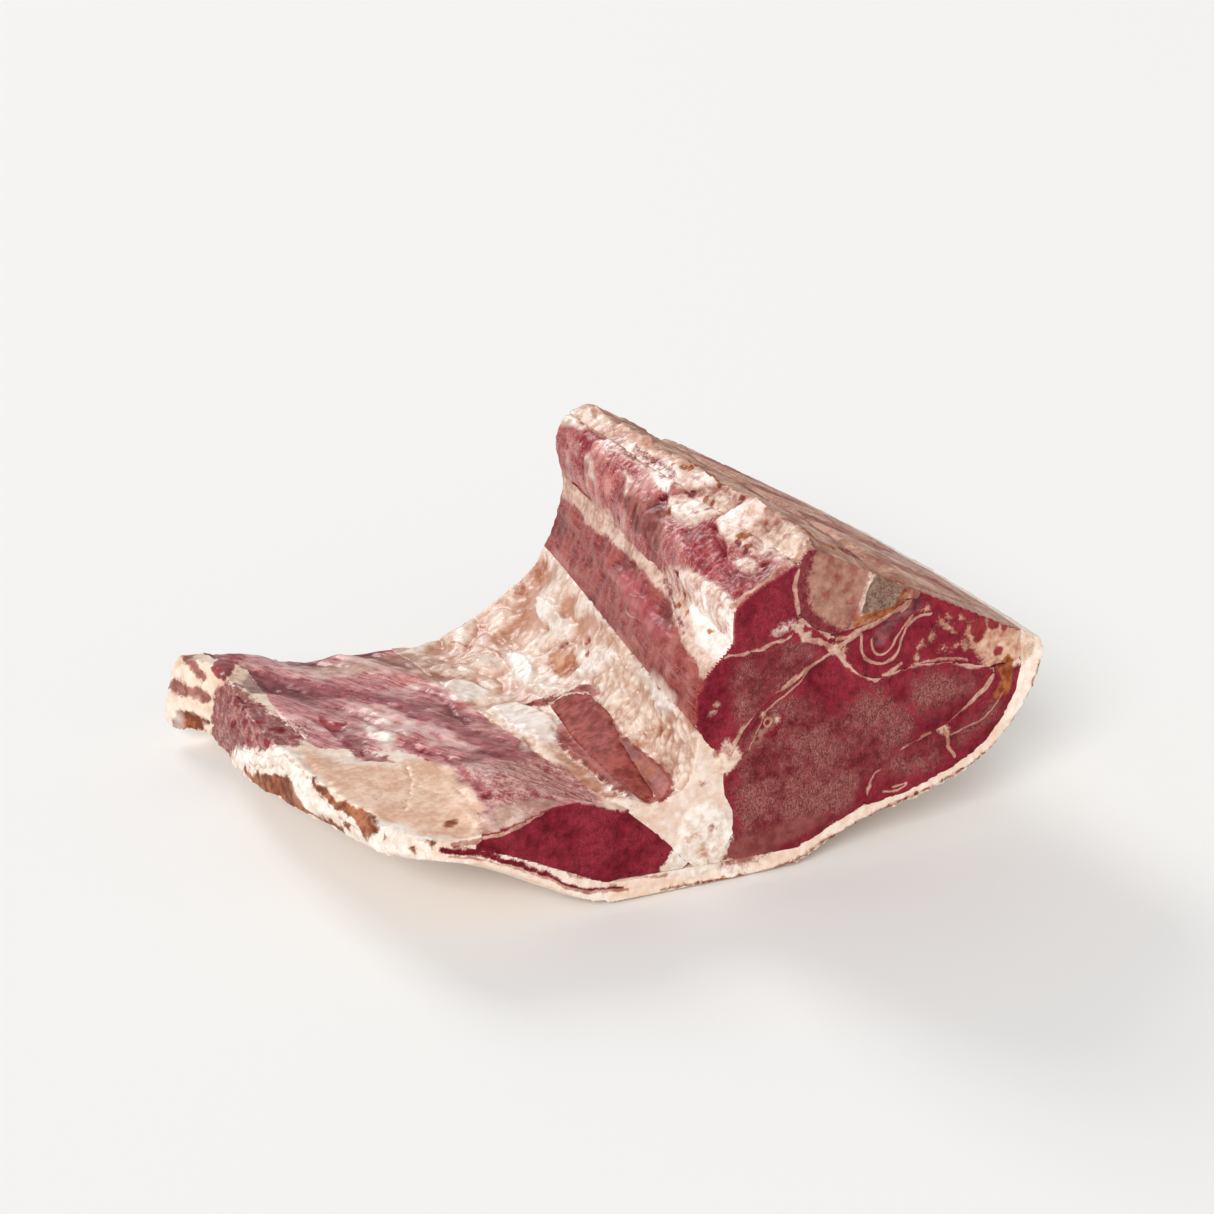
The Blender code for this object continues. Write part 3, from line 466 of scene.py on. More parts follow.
    "lower red stripe of the tip": ("meat", -0.4, [(-73.2, 66), (-68.7, 59.7), (-66, 54.9),
        (-66.5, 50.3), (-69.3, 53.5), (-72.7, 58.7), (-76.7, 66)]),
    "dried foot of the tip": ("dried", 0, [(-81.7, 62.4), (-77.2, 59.2), (-75, 55.4),
        (-72.8, 48.8), (-76.8, 52.2), (-84.3, 58.8), (-86, 64)]),
    "red block on the tip": ("deep", 0.2, [(-58.4, 54.7), (-54.3, 66), (-50, 68), (-50.6, 62.4),
        (-53.6, 54), (-57.2, 45), (-59.4, 50.7)]),
    "beige block beside it": ("cream", 0.2, [(-52.4, 55.8), (-50.2, 56.9), (-51.9, 48.1),
        (-55.7, 40.5), (-58.4, 41.1), (-60.1, 46.6), (-55.9, 46.9)]),
}
print(len(OPEN_PATCHES), "patches on the open side")

# %% Spots and rounded swellings on the open side
OPEN_SPOTS = [
    ("deep", 1.7, [(32.2, 20.3), (94.8, -3.9), (101.1, -10.5), (109.5, -30.5)]),
    ("deep", 1.1, [(103.4, 33), (104.9, 18), (101, 4), (106.9, -8.6), (109.6, -20), (99.6, -24),
        (104.2, -36.6), (98.4, -55.8), (106.4, -58), (94, 38), (92.6, 8), (88.8, -2), (86.4, -34),
        (90.8, -33)]),
    ("deep", 1.3, [(107.8, -27.6), (111, -32.7), (106.8, -31.9), (38.9, 13.3), (95, -58.6)]),
    ("deep", 0.9, [(96.4, -20.3), (95.1, -30.6), (94.6, -33.5), (95.2, -44.4), (95, -42.9),
        (94.7, -47.6), (95.6, -49.5), (35.1, 7.6), (41.3, -53.5), (76.1, -32.3)]),
    ("deep", 1.2, [(96.1, 23.1), (94.4, 29.1), (96.9, 17.5), (97.3, 30.8), (81.4, 15.9),
        (77.5, 8.4), (12, -64)]),
    ("deep", 2, [(-20, -53.3), (-20.8, -48.8), (-59, 31), (-60.5, 19), (-54, 8)]),
    ("deep", 1.5, [(-65, 27), (-62, 38), (-57.5, 24.5), (-56.5, 13.5), (-65, 12), (-52, 3),
        (-68, 36), (-58.5, 3)]),
    ("pearl", 1, [(41.3, -1.1), (41.1, -8.7), (30.2, -9.5), (32.9, -21), (28.6, -22.3),
        (24.1, -30.7), (24.8, -56.2), (28.3, -60.9), (35.1, -30.4), (-3.9, 8.9)]),
    ("dried", 1.2, [(24.5, -18.9), (24.4, -23.4), (17.4, -49.5), (18.9, -53.3), (16.5, -53.5),
        (37.1, -39.6), (23.2, -39.9), (31.8, -45.7), (71.7, -37.1), (67.7, -36.4), (66.9, -56.3),
        (68.3, -41.1)]),
    ("dried", 1.3, [(107.3, 4.1), (108.2, 0), (108.7, -2.6), (111, -16.2), (103.2, -17.3),
        (102.6, -21.3), (91.7, -11.2), (98.1, -42.6), (99.3, -43.9), (96.3, -47.5), (112, 37),
        (112.6, 14.6)]),
    ("dried", 3, [(50.9, 60.1), (45.7, 62.2), (38, 63)]),
    ("dried", 1.9, [(-32.6, -58.6)]),
    # Painted glints: small white spots that stand for the wet shine on the flap.
    ("white", 0.5, [(-38.9, 4.6), (-37.4, 1.6), (-36.2, -2.2), (-37.2, -5.6), (-30.2, -11.8),
        (-28.6, -3.4), (-30.8, 6.8), (-33.4, 11.4), (-41.2, 17.6), (-27.4, 10.2)]),
    ("dried", 0.8, [(-46.2, -63.1), (-41.1, -66.3), (-48.6, -56.1), (-56.2, -43), (-58.6, -40.4)]),
]
OPEN = (OPEN_LINES, OPEN_STRIPS, OPEN_PATCHES, OPEN_SPOTS)
# Height, radius, places.
OPEN_LUMPS = [
    (1.2, 4, [(28.2, -20), (25.5, 42.8), (4.6, 40.2), (33, 52)]),
    (-1.5, 2.2, [(32.2, 20.3), (94.8, -3.9), (101.1, -10.5), (109.5, -30.5), (38.9, 13.3)]),
    (-1, 1.8, [(95.2, -44.4), (94.7, -47.6), (95, -58.6), (76.1, -32.3), (107, -31.9)]),
    (2.6, 2.4, [(112, 36), (112.6, 14.6)]),
    (1.5, 3.5, [(111, 60), (111, 26), (112, -10), (112, -42)]),
    (-0.9, 2.4, [(-20, -53.1)]),
    (-0.8, 6, [(-17, -30), (-12, -50), (-38, 4)]),
    (0.8, 7, [(-31, 18), (-28, -6), (-22, 40)]),
]
print(sum(len(places) for *_, places in OPEN_SPOTS), "spots on the open side")

# %% [markdown]
# ## The sawn face
#
# The saw has opened the backbone along its middle. By the crest lie the spongy bodies of
# the vertebrae, then the smooth groove of the spinal canal, then the thin spines with dark
# meat between them. Sizes are distances from the crest.

# %% Sizes on the sawn face
CANAL = (14.5, 25.5)  # the groove's edges
SPINES_START = 33.0
JOINT_SHIFT = 29.9  # puts the four joints where the vertebrae meet
# Layer, half width, (distance from the crest, y).
SAWN_STRIPS = [
    ("lean", 1.8, [(8, -58), (15, -60.5), (22, -62.5), (28, -64.5)]),
    ("dried", 1, [(2.5, -56), (5, -59), (8, -61.5)]),
    ("plum", 1.6, [(6, -50), (14, -56), (24, -59)]),
    ("lean", 1, [(1, -42), (1.8, -48), (2.8, -53), (4.8, -57), (7.4, -60.5)]),
    ("dried", 0.9, [(2, -20), (2.6, -6), (2, 8)]),
]
print("canal", CANAL[1] - CANAL[0], "mm wide; spines from", SPINES_START)

# %% [markdown]
# ## A fine skin for each solid
#
# The solids are coarse. A voxel remesh gives each an even net of small faces, and a
# shrinkwrap pulls its rounded edges back out to the true ones. Faces that see the air are
# then split once, and those of the front cut twice. The rest stay coarse, because they
# touch a neighbour and never show.


# %% Making an even, fine copy
def only(piece):
    """Selects one object, and nothing else."""
    bpy.ops.object.select_all(action="DESELECT")
    piece.select_set(True)
    bpy.context.view_layer.objects.active = piece


def linked(name, data):
    """An object with this data, linked into the scene."""
    made = bpy.data.objects.new(name, data)
    bpy.context.scene.collection.objects.link(made)
    return made


def modify(piece, title, kind, **settings):
    """Adds a modifier with its settings, and applies it."""
    only(piece)
    modifier = piece.modifiers.new(title, kind)
    for key, value in settings.items():
        setattr(modifier, key, value)
    bpy.ops.object.modifier_apply(modifier=modifier.name)


def fine_copy(name, voxel):
    """A welded, evenly meshed copy of a solid. The voxel is in mm."""
    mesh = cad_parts[name].data.copy()
    mesh.materials.clear()
    piece = linked(name + "_skin", mesh)
    only(piece)
    bpy.ops.object.mode_set(mode="EDIT")
    bpy.ops.mesh.select_all(action="SELECT")
    bpy.ops.mesh.remove_doubles(threshold=0.001 * MM)
    bpy.context.tool_settings.mesh_select_mode = (False, True, False)
    bpy.ops.mesh.select_all(action="DESELECT")
    bpy.ops.mesh.edges_select_sharp(sharpness=math.radians(38.0))
    bpy.ops.transform.edge_crease(value=1.0)
    bpy.ops.object.mode_set(mode="OBJECT")
    modify(piece, "rounded facets", "SUBSURF", levels=2, render_levels=2)
    target = linked(name + "_edges", piece.data.copy())
    modify(piece, "even faces", "REMESH", mode="VOXEL", voxel_size=voxel * MM)
    modify(piece, "true edges", "SHRINKWRAP", target=target,
           wrap_method="NEAREST_SURFACEPOINT")
    bpy.data.objects.remove(target)
    return piece


def split(piece, faces):
    """Splits the chosen faces in four, as Subdivide does in edit mode."""
    only(piece)
    mesh = piece.data
    bpy.context.tool_settings.mesh_select_mode = (False, False, True)
    for parts in (mesh.vertices, mesh.edges):
        parts.foreach_set("select", np.zeros(len(parts), bool))
    mesh.polygons.foreach_set("select", faces)
    bpy.ops.object.mode_set(mode="EDIT")
    bpy.ops.mesh.subdivide(number_cuts=1)
    bpy.ops.object.mode_set(mode="OBJECT")


def numbers(parts, what, width=3):
    """Reads one property of all vertices or faces into an array."""
    flat = np.empty(len(parts) * width, np.float32)
    parts.foreach_get(what, flat)
    return flat.reshape(-1, width).astype(float)


print("vertices of the solids:", sum(len(s.data.vertices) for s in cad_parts.values()))

# %% What each piece touches
SHELLS = {}  # the corners and the triangles of each solid
for name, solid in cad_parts.items():
    solid.data.calc_loop_triangles()
    corners = numbers(solid.data.vertices, "co") / MM
    SHELLS[name] = (corners, numbers(solid.data.loop_triangles, "vertices").astype(int))
print({name: len(triangles) for name, (corners, triangles) in SHELLS.items()})


def neighbours(name):
    """A search tree of all the other solids."""
    points, faces, start = [], [], 0
    for other, (corners, triangles) in SHELLS.items():
        if other != name:
            points.append(corners)
            faces.append(triangles + start)
            start += len(corners)
    return BVHTree.FromPolygons(np.vstack(points).tolist(), np.vstack(faces).tolist())


def room_before(tree, places, facings, reach):
    """How far off the next solid is, straight out, or FAR if it is beyond reach."""
    room = np.full(len(places), FAR)
    for i, (place, facing) in enumerate(zip(places.tolist(), facings.tolist())):
        found = tree.ray_cast(place, facing, reach)
        if found[0] is not None:
            room[i] = found[3]
    return room


def refine(piece, tree, turns, reach):
    """Splits the faces that see the air once, and those of the front cut at each turn."""
    for turn in range(turns):
        polygons = piece.data.polygons
        middles, facings = numbers(polygons, "center") / MM, numbers(polygons, "normal")
        chosen = (facings[:, 1] < -0.8) & (middles[:, 1] < 2.0 - CUT_Y)
        if turn == 0:
            air = room_before(tree, middles, facings, reach) == FAR
            chosen |= air & (facings[:, 2] > -0.5)  # the underside stays coarser
        split(piece, chosen)


# %% What is known about each vertex
class Skin:
    """A piece, and what is known at each of its vertices."""

    def __init__(self, name, voxel, front_splits=2, reach=1.6, meet=0.55):
        """Walls with a neighbour within reach swell by this share of the room between."""
        self.name, self.meet = name, meet
        self.piece = fine_copy(name, voxel)
        tree = neighbours(name)
        refine(self.piece, tree, front_splits, reach)
        self.place = p = numbers(self.piece.data.vertices, "co") / MM
        self.facing = n = numbers(self.piece.data.vertices, "normal")
        self.room = room_before(tree, p, n, reach)
        self.air = air = self.room == FAR
        self.front = (n[:, 1] < -0.5) & (p[:, 1] < CUT_DEPTH - CUT_Y) & air
        self.rear = (n[:, 1] > 0.5) & (p[:, 1] > CUT_Y - CUT_DEPTH) & air
        side = air & ~self.front & ~self.rear
        x, z = p[:, 0] - CREST[0], p[:, 2] - CREST[1]
        self.from_crest = x * SAW_NORMAL[2] - z * SAW_NORMAL[0]
        self.sawn = side & (n @ SAW_NORMAL > 0.72) & (self.from_crest > 0.6) & (
            x * SAW_NORMAL[0] + z * SAW_NORMAL[2] > -SAWN_DEPTH)
        side &= ~self.sawn
        self.rim = side & (n[:, 0] < -0.55) & (p[:, 0] < RIM_X)
        self.open = side & (n @ OPEN_SIDE > 0.05) & ~self.rim & (p[:, 0] < OPEN_END_X)
        self.under = side & ~self.open & ~self.rim
        self.gap = np.full(len(p), FAR)
        self.toward = np.zeros(p.shape)  # the way to the nearest other solid
        for i in np.flatnonzero(air):
            found = tree.find_nearest(p[i].tolist(), FAR)
            if found[0] is not None:
                self.gap[i] = found[3]
                self.toward[i] = np.array(found[0]) - p[i]
        self.marks = {}
        self.rise = np.zeros(len(p))  # relief in mm
        self.painted_light_relief = np.zeros(len(p))  # the part of it that gets painted shade in its hollows and painted highlight on its tops
        print(name, len(p), "vertices; front", self.front.sum(), "sawn", self.sawn.sum(),
              "open", self.open.sum(), "rim", self.rim.sum())

    def mark(self, layer, where, distance):
        """Paints a layer where the distance is below zero."""
        if len(where):
            kept = self.marks[layer] = self.away(layer)
            kept[where] = np.minimum(kept[where], distance)

    def away(self, layer):
        """How far each vertex lies outside a layer, negative inside it."""
        return self.marks.get(layer, np.full(len(self.place), FAR))

    def inside(self, layer, soft=1.0):
        """Goes from 0 at the edge of a layer to 1 this far inside it."""
        return ramp(-self.away(layer), 0.0, soft)

    def lift(self, amount):
        """Raises the surface, and notes it for painted shade in hollows and painted highlight on
        tops.
        """
        self.rise += amount
        self.painted_light_relief += amount


print("surfaces: front, rear, sawn, open, rim, under")


# %% Drawing the tables of marks on a piece
STEP = (-1.4, 0.4)  # a patch rises over this stretch of its edge
PAINTED_LIGHT_SHARE = 0.4  # the share of that step that gets painted shade where it sinks and painted highlight where it rises
SWELLING = 0.6  # the share of its height that a rounded swelling gets


def wandering(skin, flat, fine, coarse):
    """A flat map, with the wobble of things that grew."""
    p = skin.place
    return flat + fine * several(p, 1.7, (101, 102)) + coarse * several(p, 6.0, (111, 112))


def close(surface, flat, points, more=0.0):
    """The surface's vertices that lie near these flat points."""
    margin = FAR / 2 + more
    low, high = np.min(points, axis=0) - margin, np.max(points, axis=0) + margin
    return np.flatnonzero(surface & np.all((flat > low) & (flat < high), axis=1))


def draw(skin, surface, flat, lines, strips, patches, spots):
    """Draws lines, strips, patches and spots on one of the surfaces."""
    # Lines that sink below the surface take the crease colour, a darker painted shade along each
    # fold and crease.
    drawn = [("fascia" if height >= 0 else "crease", 0.8 * width, height, points)
             for width, height, points in lines.values()]
    for layer, width, height, points in drawn + strips:
        line = curved(points)
        near = close(surface, flat, line)
        gap = to_line(flat[near], line)
        skin.mark(layer, near, gap - width)
        skin.rise[near] += height * (1.0 - ramp(gap, 0.3 * width, width + 0.7))
    for layer, height, points in patches.values():
        outline = curved(points, closed=True)
        near = close(surface, flat, outline)
        gap = to_patch(flat[near], outline)
        step = height * (1.0 - ramp(gap, *STEP))
        skin.mark(layer, near, gap)
        skin.rise[near] += step
        # Painted shade on sunken patches and painted highlight on raised ones.
        skin.painted_light_relief[near] += PAINTED_LIGHT_SHARE * step
    for layer, radius, places in spots:
        for spot in places:
            near = close(surface, flat, [spot], radius)
            skin.mark(layer, near, np.linalg.norm(flat[near] - spot, axis=1) - radius)


def draw_marks(skin):
    """The marks that run across several pieces."""
    p = skin.place
    draw(skin, skin.front, wandering(skin, p[:, [0, 2]], 0.16, 0.3), *FRONT)
    flat = wandering(skin, np.stack([p[:, 0] + p[:, 2], p[:, 1]], axis=1), 0.3, 0.6)
    draw(skin, skin.open | skin.rim, flat, *OPEN)
    for height, radius, places in OPEN_LUMPS:
        for spot in places:
            near = close(skin.open, flat, [spot], radius)
            gap = np.linalg.norm(flat[near] - spot, axis=1)
            share = 1.0 - ramp(gap, 0.15 * radius, radius)
            skin.rise[near] += SWELLING * height * share
            # Dents get painted shade.
            skin.painted_light_relief[near] += min(height, 0.0) * share


print("marks on the front cut:", sum(map(len, FRONT)), "on the open side:", sum(map(len, OPEN)))


# %% Relief that every piece shares
SEAM = 0.85  # the rear cut's fascia reaches this far from a seam
BROWNED = 3.0  # its meat is browner further from a seam than this


def unevenness(skin):
    """What a knife, a saw and drying air leave on any of the surfaces."""
    p = skin.place
    cut = skin.front | skin.rear
    skin.rise[cut] += 0.12 * rough(p[cut], 5.0, 3) + 0.05 * swell(p[cut], 1.2, 9)
    lively = 1.0 - 0.7 * np.maximum(skin.inside("pad", 2.0), skin.inside("meat"))
    broad = rough(p, 8.0, 5)
    # This relief also gets painted shade in its hollows and painted highlight on its tops.
    skin.lift(skin.open * lively * (0.25 * broad + 0.07 * swell(p, 1.8, 11)))
    skin.lift(skin.rim * 0.2 * broad)
    skin.rise[skin.under] += 0.15 * rough(p[skin.under], 9.0, 7)
    skin.lift(skin.sawn * 0.15 * rough(p, 3.0, 13))


def lumpy(skin, cover, size, height, seed, stretch=(1.0, 1.0, 1.0)):
    """Packed rounded lumps, with creases between them, where cover is 1. The creases get
    painted shade and the tops a painted highlight.
    """
    bent = skin.place + 0.3 * size * several(skin.place, 0.8 * size, range(seed, seed + 3))
    skin.lift(cover * height * (lobes(bent * stretch, size, seed) - 0.55))


def between_fascia(skin, height):
    """Meat swells a little between the sheets of fascia that hold it."""
    for surface in (skin.front, skin.rear):
        room = np.minimum(skin.away("fascia"), skin.gap)[surface]
        skin.rise[surface] += height * ramp(room, 0.3, 3.0)


def seam_marks(skin):
    """Fascia along the seams of the rear cut, and a browner middle in each muscle."""
    rear = np.flatnonzero(skin.rear)
    wander = 0.22 * swell(skin.place[rear], 3.5, 17)
    skin.mark("fascia", rear, skin.gap[rear] - SEAM + wander)
    skin.mark("brown", rear, BROWNED - skin.gap[rear] + 1.6 * rough(skin.place[rear], 6.0, 19))


def prepared(name, voxel, bulge=0.3, seams=True, **walls):
    """A skin with its marks and unevenness. Its cuts bulge by this between the fascia."""
    skin = Skin(name, voxel, **walls)
    draw_marks(skin)
    if seams:
        seam_marks(skin)
    between_fascia(skin, bulge)
    unevenness(skin)
    return skin


print("a lobe of 3 mm at one place:", lobes(np.array([[1.0, 2.0, 3.0]]), 3.0))

# %% [markdown]
# ## The finishes
#
# Each surface here is a body part that a maker knows by touch. Cut lean is wet, dark red at
# its edges and browner and finely speckled where air has reached it. Lean under its silver
# membrane is paler, streaked along its fibres, and shinier. Fat is matt cream, suet is lobed
# and a little glassy, sawn bone is pinkish and porous.

# %% Colours and roughness of each finish
FINISHES = {
    # dark, light, cover (0 to 1), ragged and soft (mm), roughness
    "brown": ("662a2a", "8c504c", 0.85, 3, 2.6, 0.6),
    "lean": ("600c1a", "8c2232", 1, 0.5, 0.3, 0.5),
    "plum": ("5c2a31", "925c5c", 0.8, 1.4, 0.8, 0.45),
    "fibrous": ("8a3038", "d8aca0", 0.9, 1.8, 1.2, 0.5),
    "pale": ("a9826f", "d8bba8", 0.75, 2.4, 1.4, 0.45),
    "meat": ("7d3f3b", "aa6a60", 0.92, 1.2, 0.6, 0.4),
    "cream": ("cba085", "eed9c6", 0.95, 1.2, 0.5, 0.5),
    "suet": ("b4866c", "e8cdb8", 0.95, 1.4, 1, 0.4),
    "pad": ("d4a68a", "ecccb4", 1, 1.2, 1.4, 0.35),
    "white": ("dcc5b2", "f9f0e6", 0.95, 1.2, 0.4, 0.5),
    "pearl": ("cfb3a0", "f1e4d8", 0.9, 1.4, 1.4, 0.3),
    "flecks": ("761e2c", "e4bcb0", 0.92, 2, 0.8, 0.45),
    "deep": ("6c1420", "962c38", 0.95, 0.5, 0.4, 0.35),
    "dried": ("7c3616", "bc7044", 0.95, 1, 0.4, 0.6),
    "grey": ("6a5146", "a38675", 0.95, 0.5, 0.3, 0.7),
    # painted shade along the sunken lines of folds and creases
    "crease": ("9c6048", "c08a70", 0.7, 0.3, 0.2, 0.5),
    "fascia": ("a8705e", "d6b09c", 0.92, 0.3, 0.15, 0.5),
}
# How much of the side's wet film each layer keeps.
FILM = {"plum": 0.6, "fibrous": 0.2, "pale": 0.7, "meat": 0.25, "cream": 0.6, "pad": 0.6,
        "white": 0.6, "flecks": 0.6, "deep": 0.6, "dried": 0.1}


def colour(code):
    """A linear colour from an sRGB hex value."""
    values = [int(code[i:i + 2], 16) / 255 for i in (0, 2, 4)]
    return [*(v / 12.92 if v <= 0.04045 else ((v + 0.055) / 1.055) ** 2.4 for v in values), 1.0]


def add(tree, kind, inputs=None, out=0, **settings):
    """Adds a node, and returns one of its outputs, if it has any.

    Each input is given a value, or the output that feeds it.
    """
    node = tree.nodes.new("ShaderNode" + kind)
    for key, value in settings.items():
        setattr(node, key, value)
    for key, value in (inputs or {}).items():
        if isinstance(value, bpy.types.NodeSocket):
            tree.links.new(value, node.inputs[key])
        else:
            node.inputs[key].default_value = value
    return node.outputs[out] if node.outputs else None


print("finishes, each over the last:", list(FINISHES))

# %% [markdown]
# ## One build-up for all the materials
#
# Every material is laid up the same way. First comes the ground: one look for the cut faces
# and one for the skinned sides, whose paler cloudy veil is partly painted sheen and whose fine
# pale specks are painted glints. Then each marked layer goes on over it, where its distance
# is below zero, with noise to break the edge. Cut lean has short pale threads about 2 mm
# long and grit of 0.5 mm. Last, painted shade darkens the hollows of the relief, and a painted
# highlight makes its tops paler.

# %% The patterns that all the materials share
PATTERNS = {
    # size along x, y and z (mm), detail, distortion
    "grit": (0.5, 0.5, 0.5, 2, 0),
    "fleck": (2.2, 2.2, 2.2, 4, 0),
    "cloud": (9, 9, 9, 4, 0),
    "flesh": (16, 16, 16, 2, 0),
    "short": (0.5, 3, 1.2, 4, 2.2),
    "crumb": (1.5, 3.6, 1.5, 4, 0),
    "fibre": (0.8, 14, 0.8, 4, 0.6),
}
A, B = 6, 7  # the inputs of a Mix node that hold its two colours
COLOURS = {"out": 2, "data_type": "RGBA"}  # settings that make it mix them
TONE = (0.85, 1.15)  # where the sum of two patterns goes from dark to light


def patterns(put, along):
    """All the patterns in turn. Only the fibres run along the given way."""
    place = put("TexCoord", out="Object")
    turn = Vector(along).rotation_difference(Vector((0, 1, 0))).to_euler()
    turned = put("Mapping", {"Vector": place, "Rotation": turn}, vector_type="POINT")
    for name, (*sizes, detail, distortion) in PATTERNS.items():
        scaled = put("VectorMath", {0: turned if name == "fibre" else place,
                                    1: [1.0 / (size * MM) for size in sizes]},
                     operation="MULTIPLY")
        yield put("TexNoise", {"Vector": scaled, "Scale": 1.0, "Detail": detail,
                               "Roughness": 0.65, "Distortion": distortion})


def shade(put, pattern, low, high, dark, light):
    """Goes from dark to light as the pattern goes from low to high."""
    share = put("MapRange", {"Value": pattern, "From Min": low, "From Max": high})
    return put("Mix", {0: share, A: colour(dark), B: colour(light)}, **COLOURS)


def glaze(put, paint, *coats):
    """Lays thin coats over the paint, each up to its share where its pattern is high."""
    for pattern, low, high, most, code, blend in coats:
        share = put("MapRange", {"Value": pattern, "From Min": low, "From Max": high,
                                 "To Max": most})
        paint = put("Mix", {0: share, A: paint, B: colour(code)}, blend_type=blend, **COLOURS)
    return paint


print("patterns and their sizes in mm:", {name: size[:3] for name, size in PATTERNS.items()})


# %% The build-up
def tissue(name, cut, side, skin, along=(0, 1, 0), streaks=0.6, fat=0.0, coat=0.6, marbling=0.6,
           warm="ffe8dc", bump=0.25, specks=0.0, torn=0.0, own=None):
    """A material of meat, fat or bone, from its ground colours up.

    A cut has a dark, a light and a thread colour. A side has a dark and a light one, that of
    its paler veil, which is partly painted sheen, that of its painted shade in the hollows, and
    that of its painted highlight on the tops and in its glint specks.
    """
    material = bpy.data.materials.new(name)
    material.use_nodes = True
    material.node_tree.nodes.clear()
    put = partial(add, material.node_tree)
    grit, fleck, cloud, flesh, short, crumb, fibre = patterns(put, along)
    is_cut, painted_light_relief = (put("Attribute", out="Fac", attribute_name=kept) for kept in ("cut", "painted_light_relief"))
    veil_and_sheen, painted_shade, painted_highlight = side[2:]

    # The cut faces, then the skinned sides: streaks along the fibres, a paler veil that is
    # partly the membrane's own and partly painted sheen, and fine specks of painted glint.
    ground = shade(put, put("Mix", {0: 0.45, 2: fleck, 3: cloud}), 0.38, 0.62, *cut[:2])
    streaked = put("Mix", {0: streaks, 2: put("Mix", {0: 0.4, 2: fleck, 3: cloud}), 3: fibre})
    skinned = glaze(put, shade(put, streaked, 0.41, 0.59, *side[:2]),
                    (cloud, 0.5, 0.64, 0.65, veil_and_sheen, "MIX"),
                    (flesh, 0.46, 0.6, 0.7, warm, "MULTIPLY"),
                    (grit, 0.53, 0.63, specks, painted_highlight, "MIX"))
    paint = put("Mix", {0: is_cut, A: skinned, B: ground}, **COLOURS)
    sheen = put("Mix", {0: is_cut, 2: 0.36, 3: 0.6})
    wet = put("MapRange", {"Value": is_cut, "To Min": coat, "To Max": 0.0})

    # Pale threads and grit in cut lean, densest where the meat has browned.
    threads = put("MapRange", {"Value": short, "From Min": 0.5, "From Max": 0.58})
    dense = put("MapRange", {"Value": cloud, "From Min": 0.4, "From Max": 0.56, "To Min": 0.15})
    grains = put("MapRange", {"Value": grit, "From Min": 0.56, "From Max": 0.72, "To Max": 0.5})
    pale = put("Math", {0: threads, 1: dense}, operation="MULTIPLY")
    pale = put("Math", {0: pale, 1: grains}, operation="MAXIMUM")
    for share in (is_cut, marbling):
        pale = put("Math", {0: pale, 1: share}, operation="MULTIPLY")

    # What varies each layer's tone, and what tears holes in it.
    gritty = put("Math", {0: put("Mix", {0: is_cut, 2: cloud, 3: grit}), 1: fleck})
    smooth = put("Math", {0: cloud, 1: fleck})
    flecked = put("Mix", {0: 0.3, 2: crumb, 3: grit})
    stringy = put("Mix", {0: 0.25, 2: put("Mix", {0: 0.4, 2: crumb, 3: grit}), 3: fibre})
    tones = {"brown": (gritty, 0.84, 1.16), "lean": (gritty, 0.84, 1.16),
             "grey": (gritty, 0.84, 1.16), "flecks": (flecked, 0.46, 0.6),
             "fibrous": (stringy, 0.44, 0.58)}
    covers = {"brown": put("MapRange", {"Value": cloud, "From Min": 0.4, "From Max": 0.58,
                                        "To Min": 0.3, "To Max": 0.9})}
    if torn:
        whole = put("MapRange", {"Value": put("Mix", {0: 0.4, 2: fleck, 3: crumb}),
                                 "From Min": 0.38, "From Max": 0.5,
                                 "To Min": 0.95 - torn, "To Max": 0.95})
        covers.update(dict.fromkeys(("cream", "white", "pearl"), whole))

    # The marked layers, each over the last. The pale threads lie over the lean ones only.
    ragging = put("Mix", {0: 0.3, 2: fleck, 3: grit})
    finishes = {**FINISHES, **(own or {})}
    layers = [layer for layer in FINISHES if layer == "brown" or (
        layer in skin.marks and skin.marks[layer].min() < 1.5)]
    for layer in layers:
        dark, light, cover, ragged, soft, roughness = finishes[layer]
        away = put("Attribute", out="Fac", attribute_name=layer) if layer in skin.marks else FAR
        edge = put("Math", {0: ragging, 1: 4.0 * ragged, 2: away}, operation="MULTIPLY_ADD")
        mask = put("MapRange", {"Value": edge, "From Min": 2.0 * ragged - soft,
                                "From Max": 2.0 * ragged + soft,
                                "To Min": covers.get(layer, cover), "To Max": 0.0},
                   interpolation_type="SMOOTHSTEP")
        tone = shade(put, *tones.get(layer, (smooth, *TONE)), dark, light)
        paint = put("Mix", {0: mask, A: paint, B: tone}, **COLOURS)
        sheen = put("Mix", {0: mask, 2: sheen, 3: roughness})
        if layer in FILM:
            left = put("MapRange", {"Value": mask, "To Min": 1.0, "To Max": FILM[layer]})
            wet = put("Math", {0: wet, 1: left}, operation="MULTIPLY")
        if layer == "brown":
            share = put("MapRange", {"Value": mask, "From Max": 0.8, "To Min": 0.2})
            share = put("Math", {0: pale, 1: share}, operation="MULTIPLY")
            paint = put("Mix", {0: share, A: paint, B: colour(cut[2])}, **COLOURS)

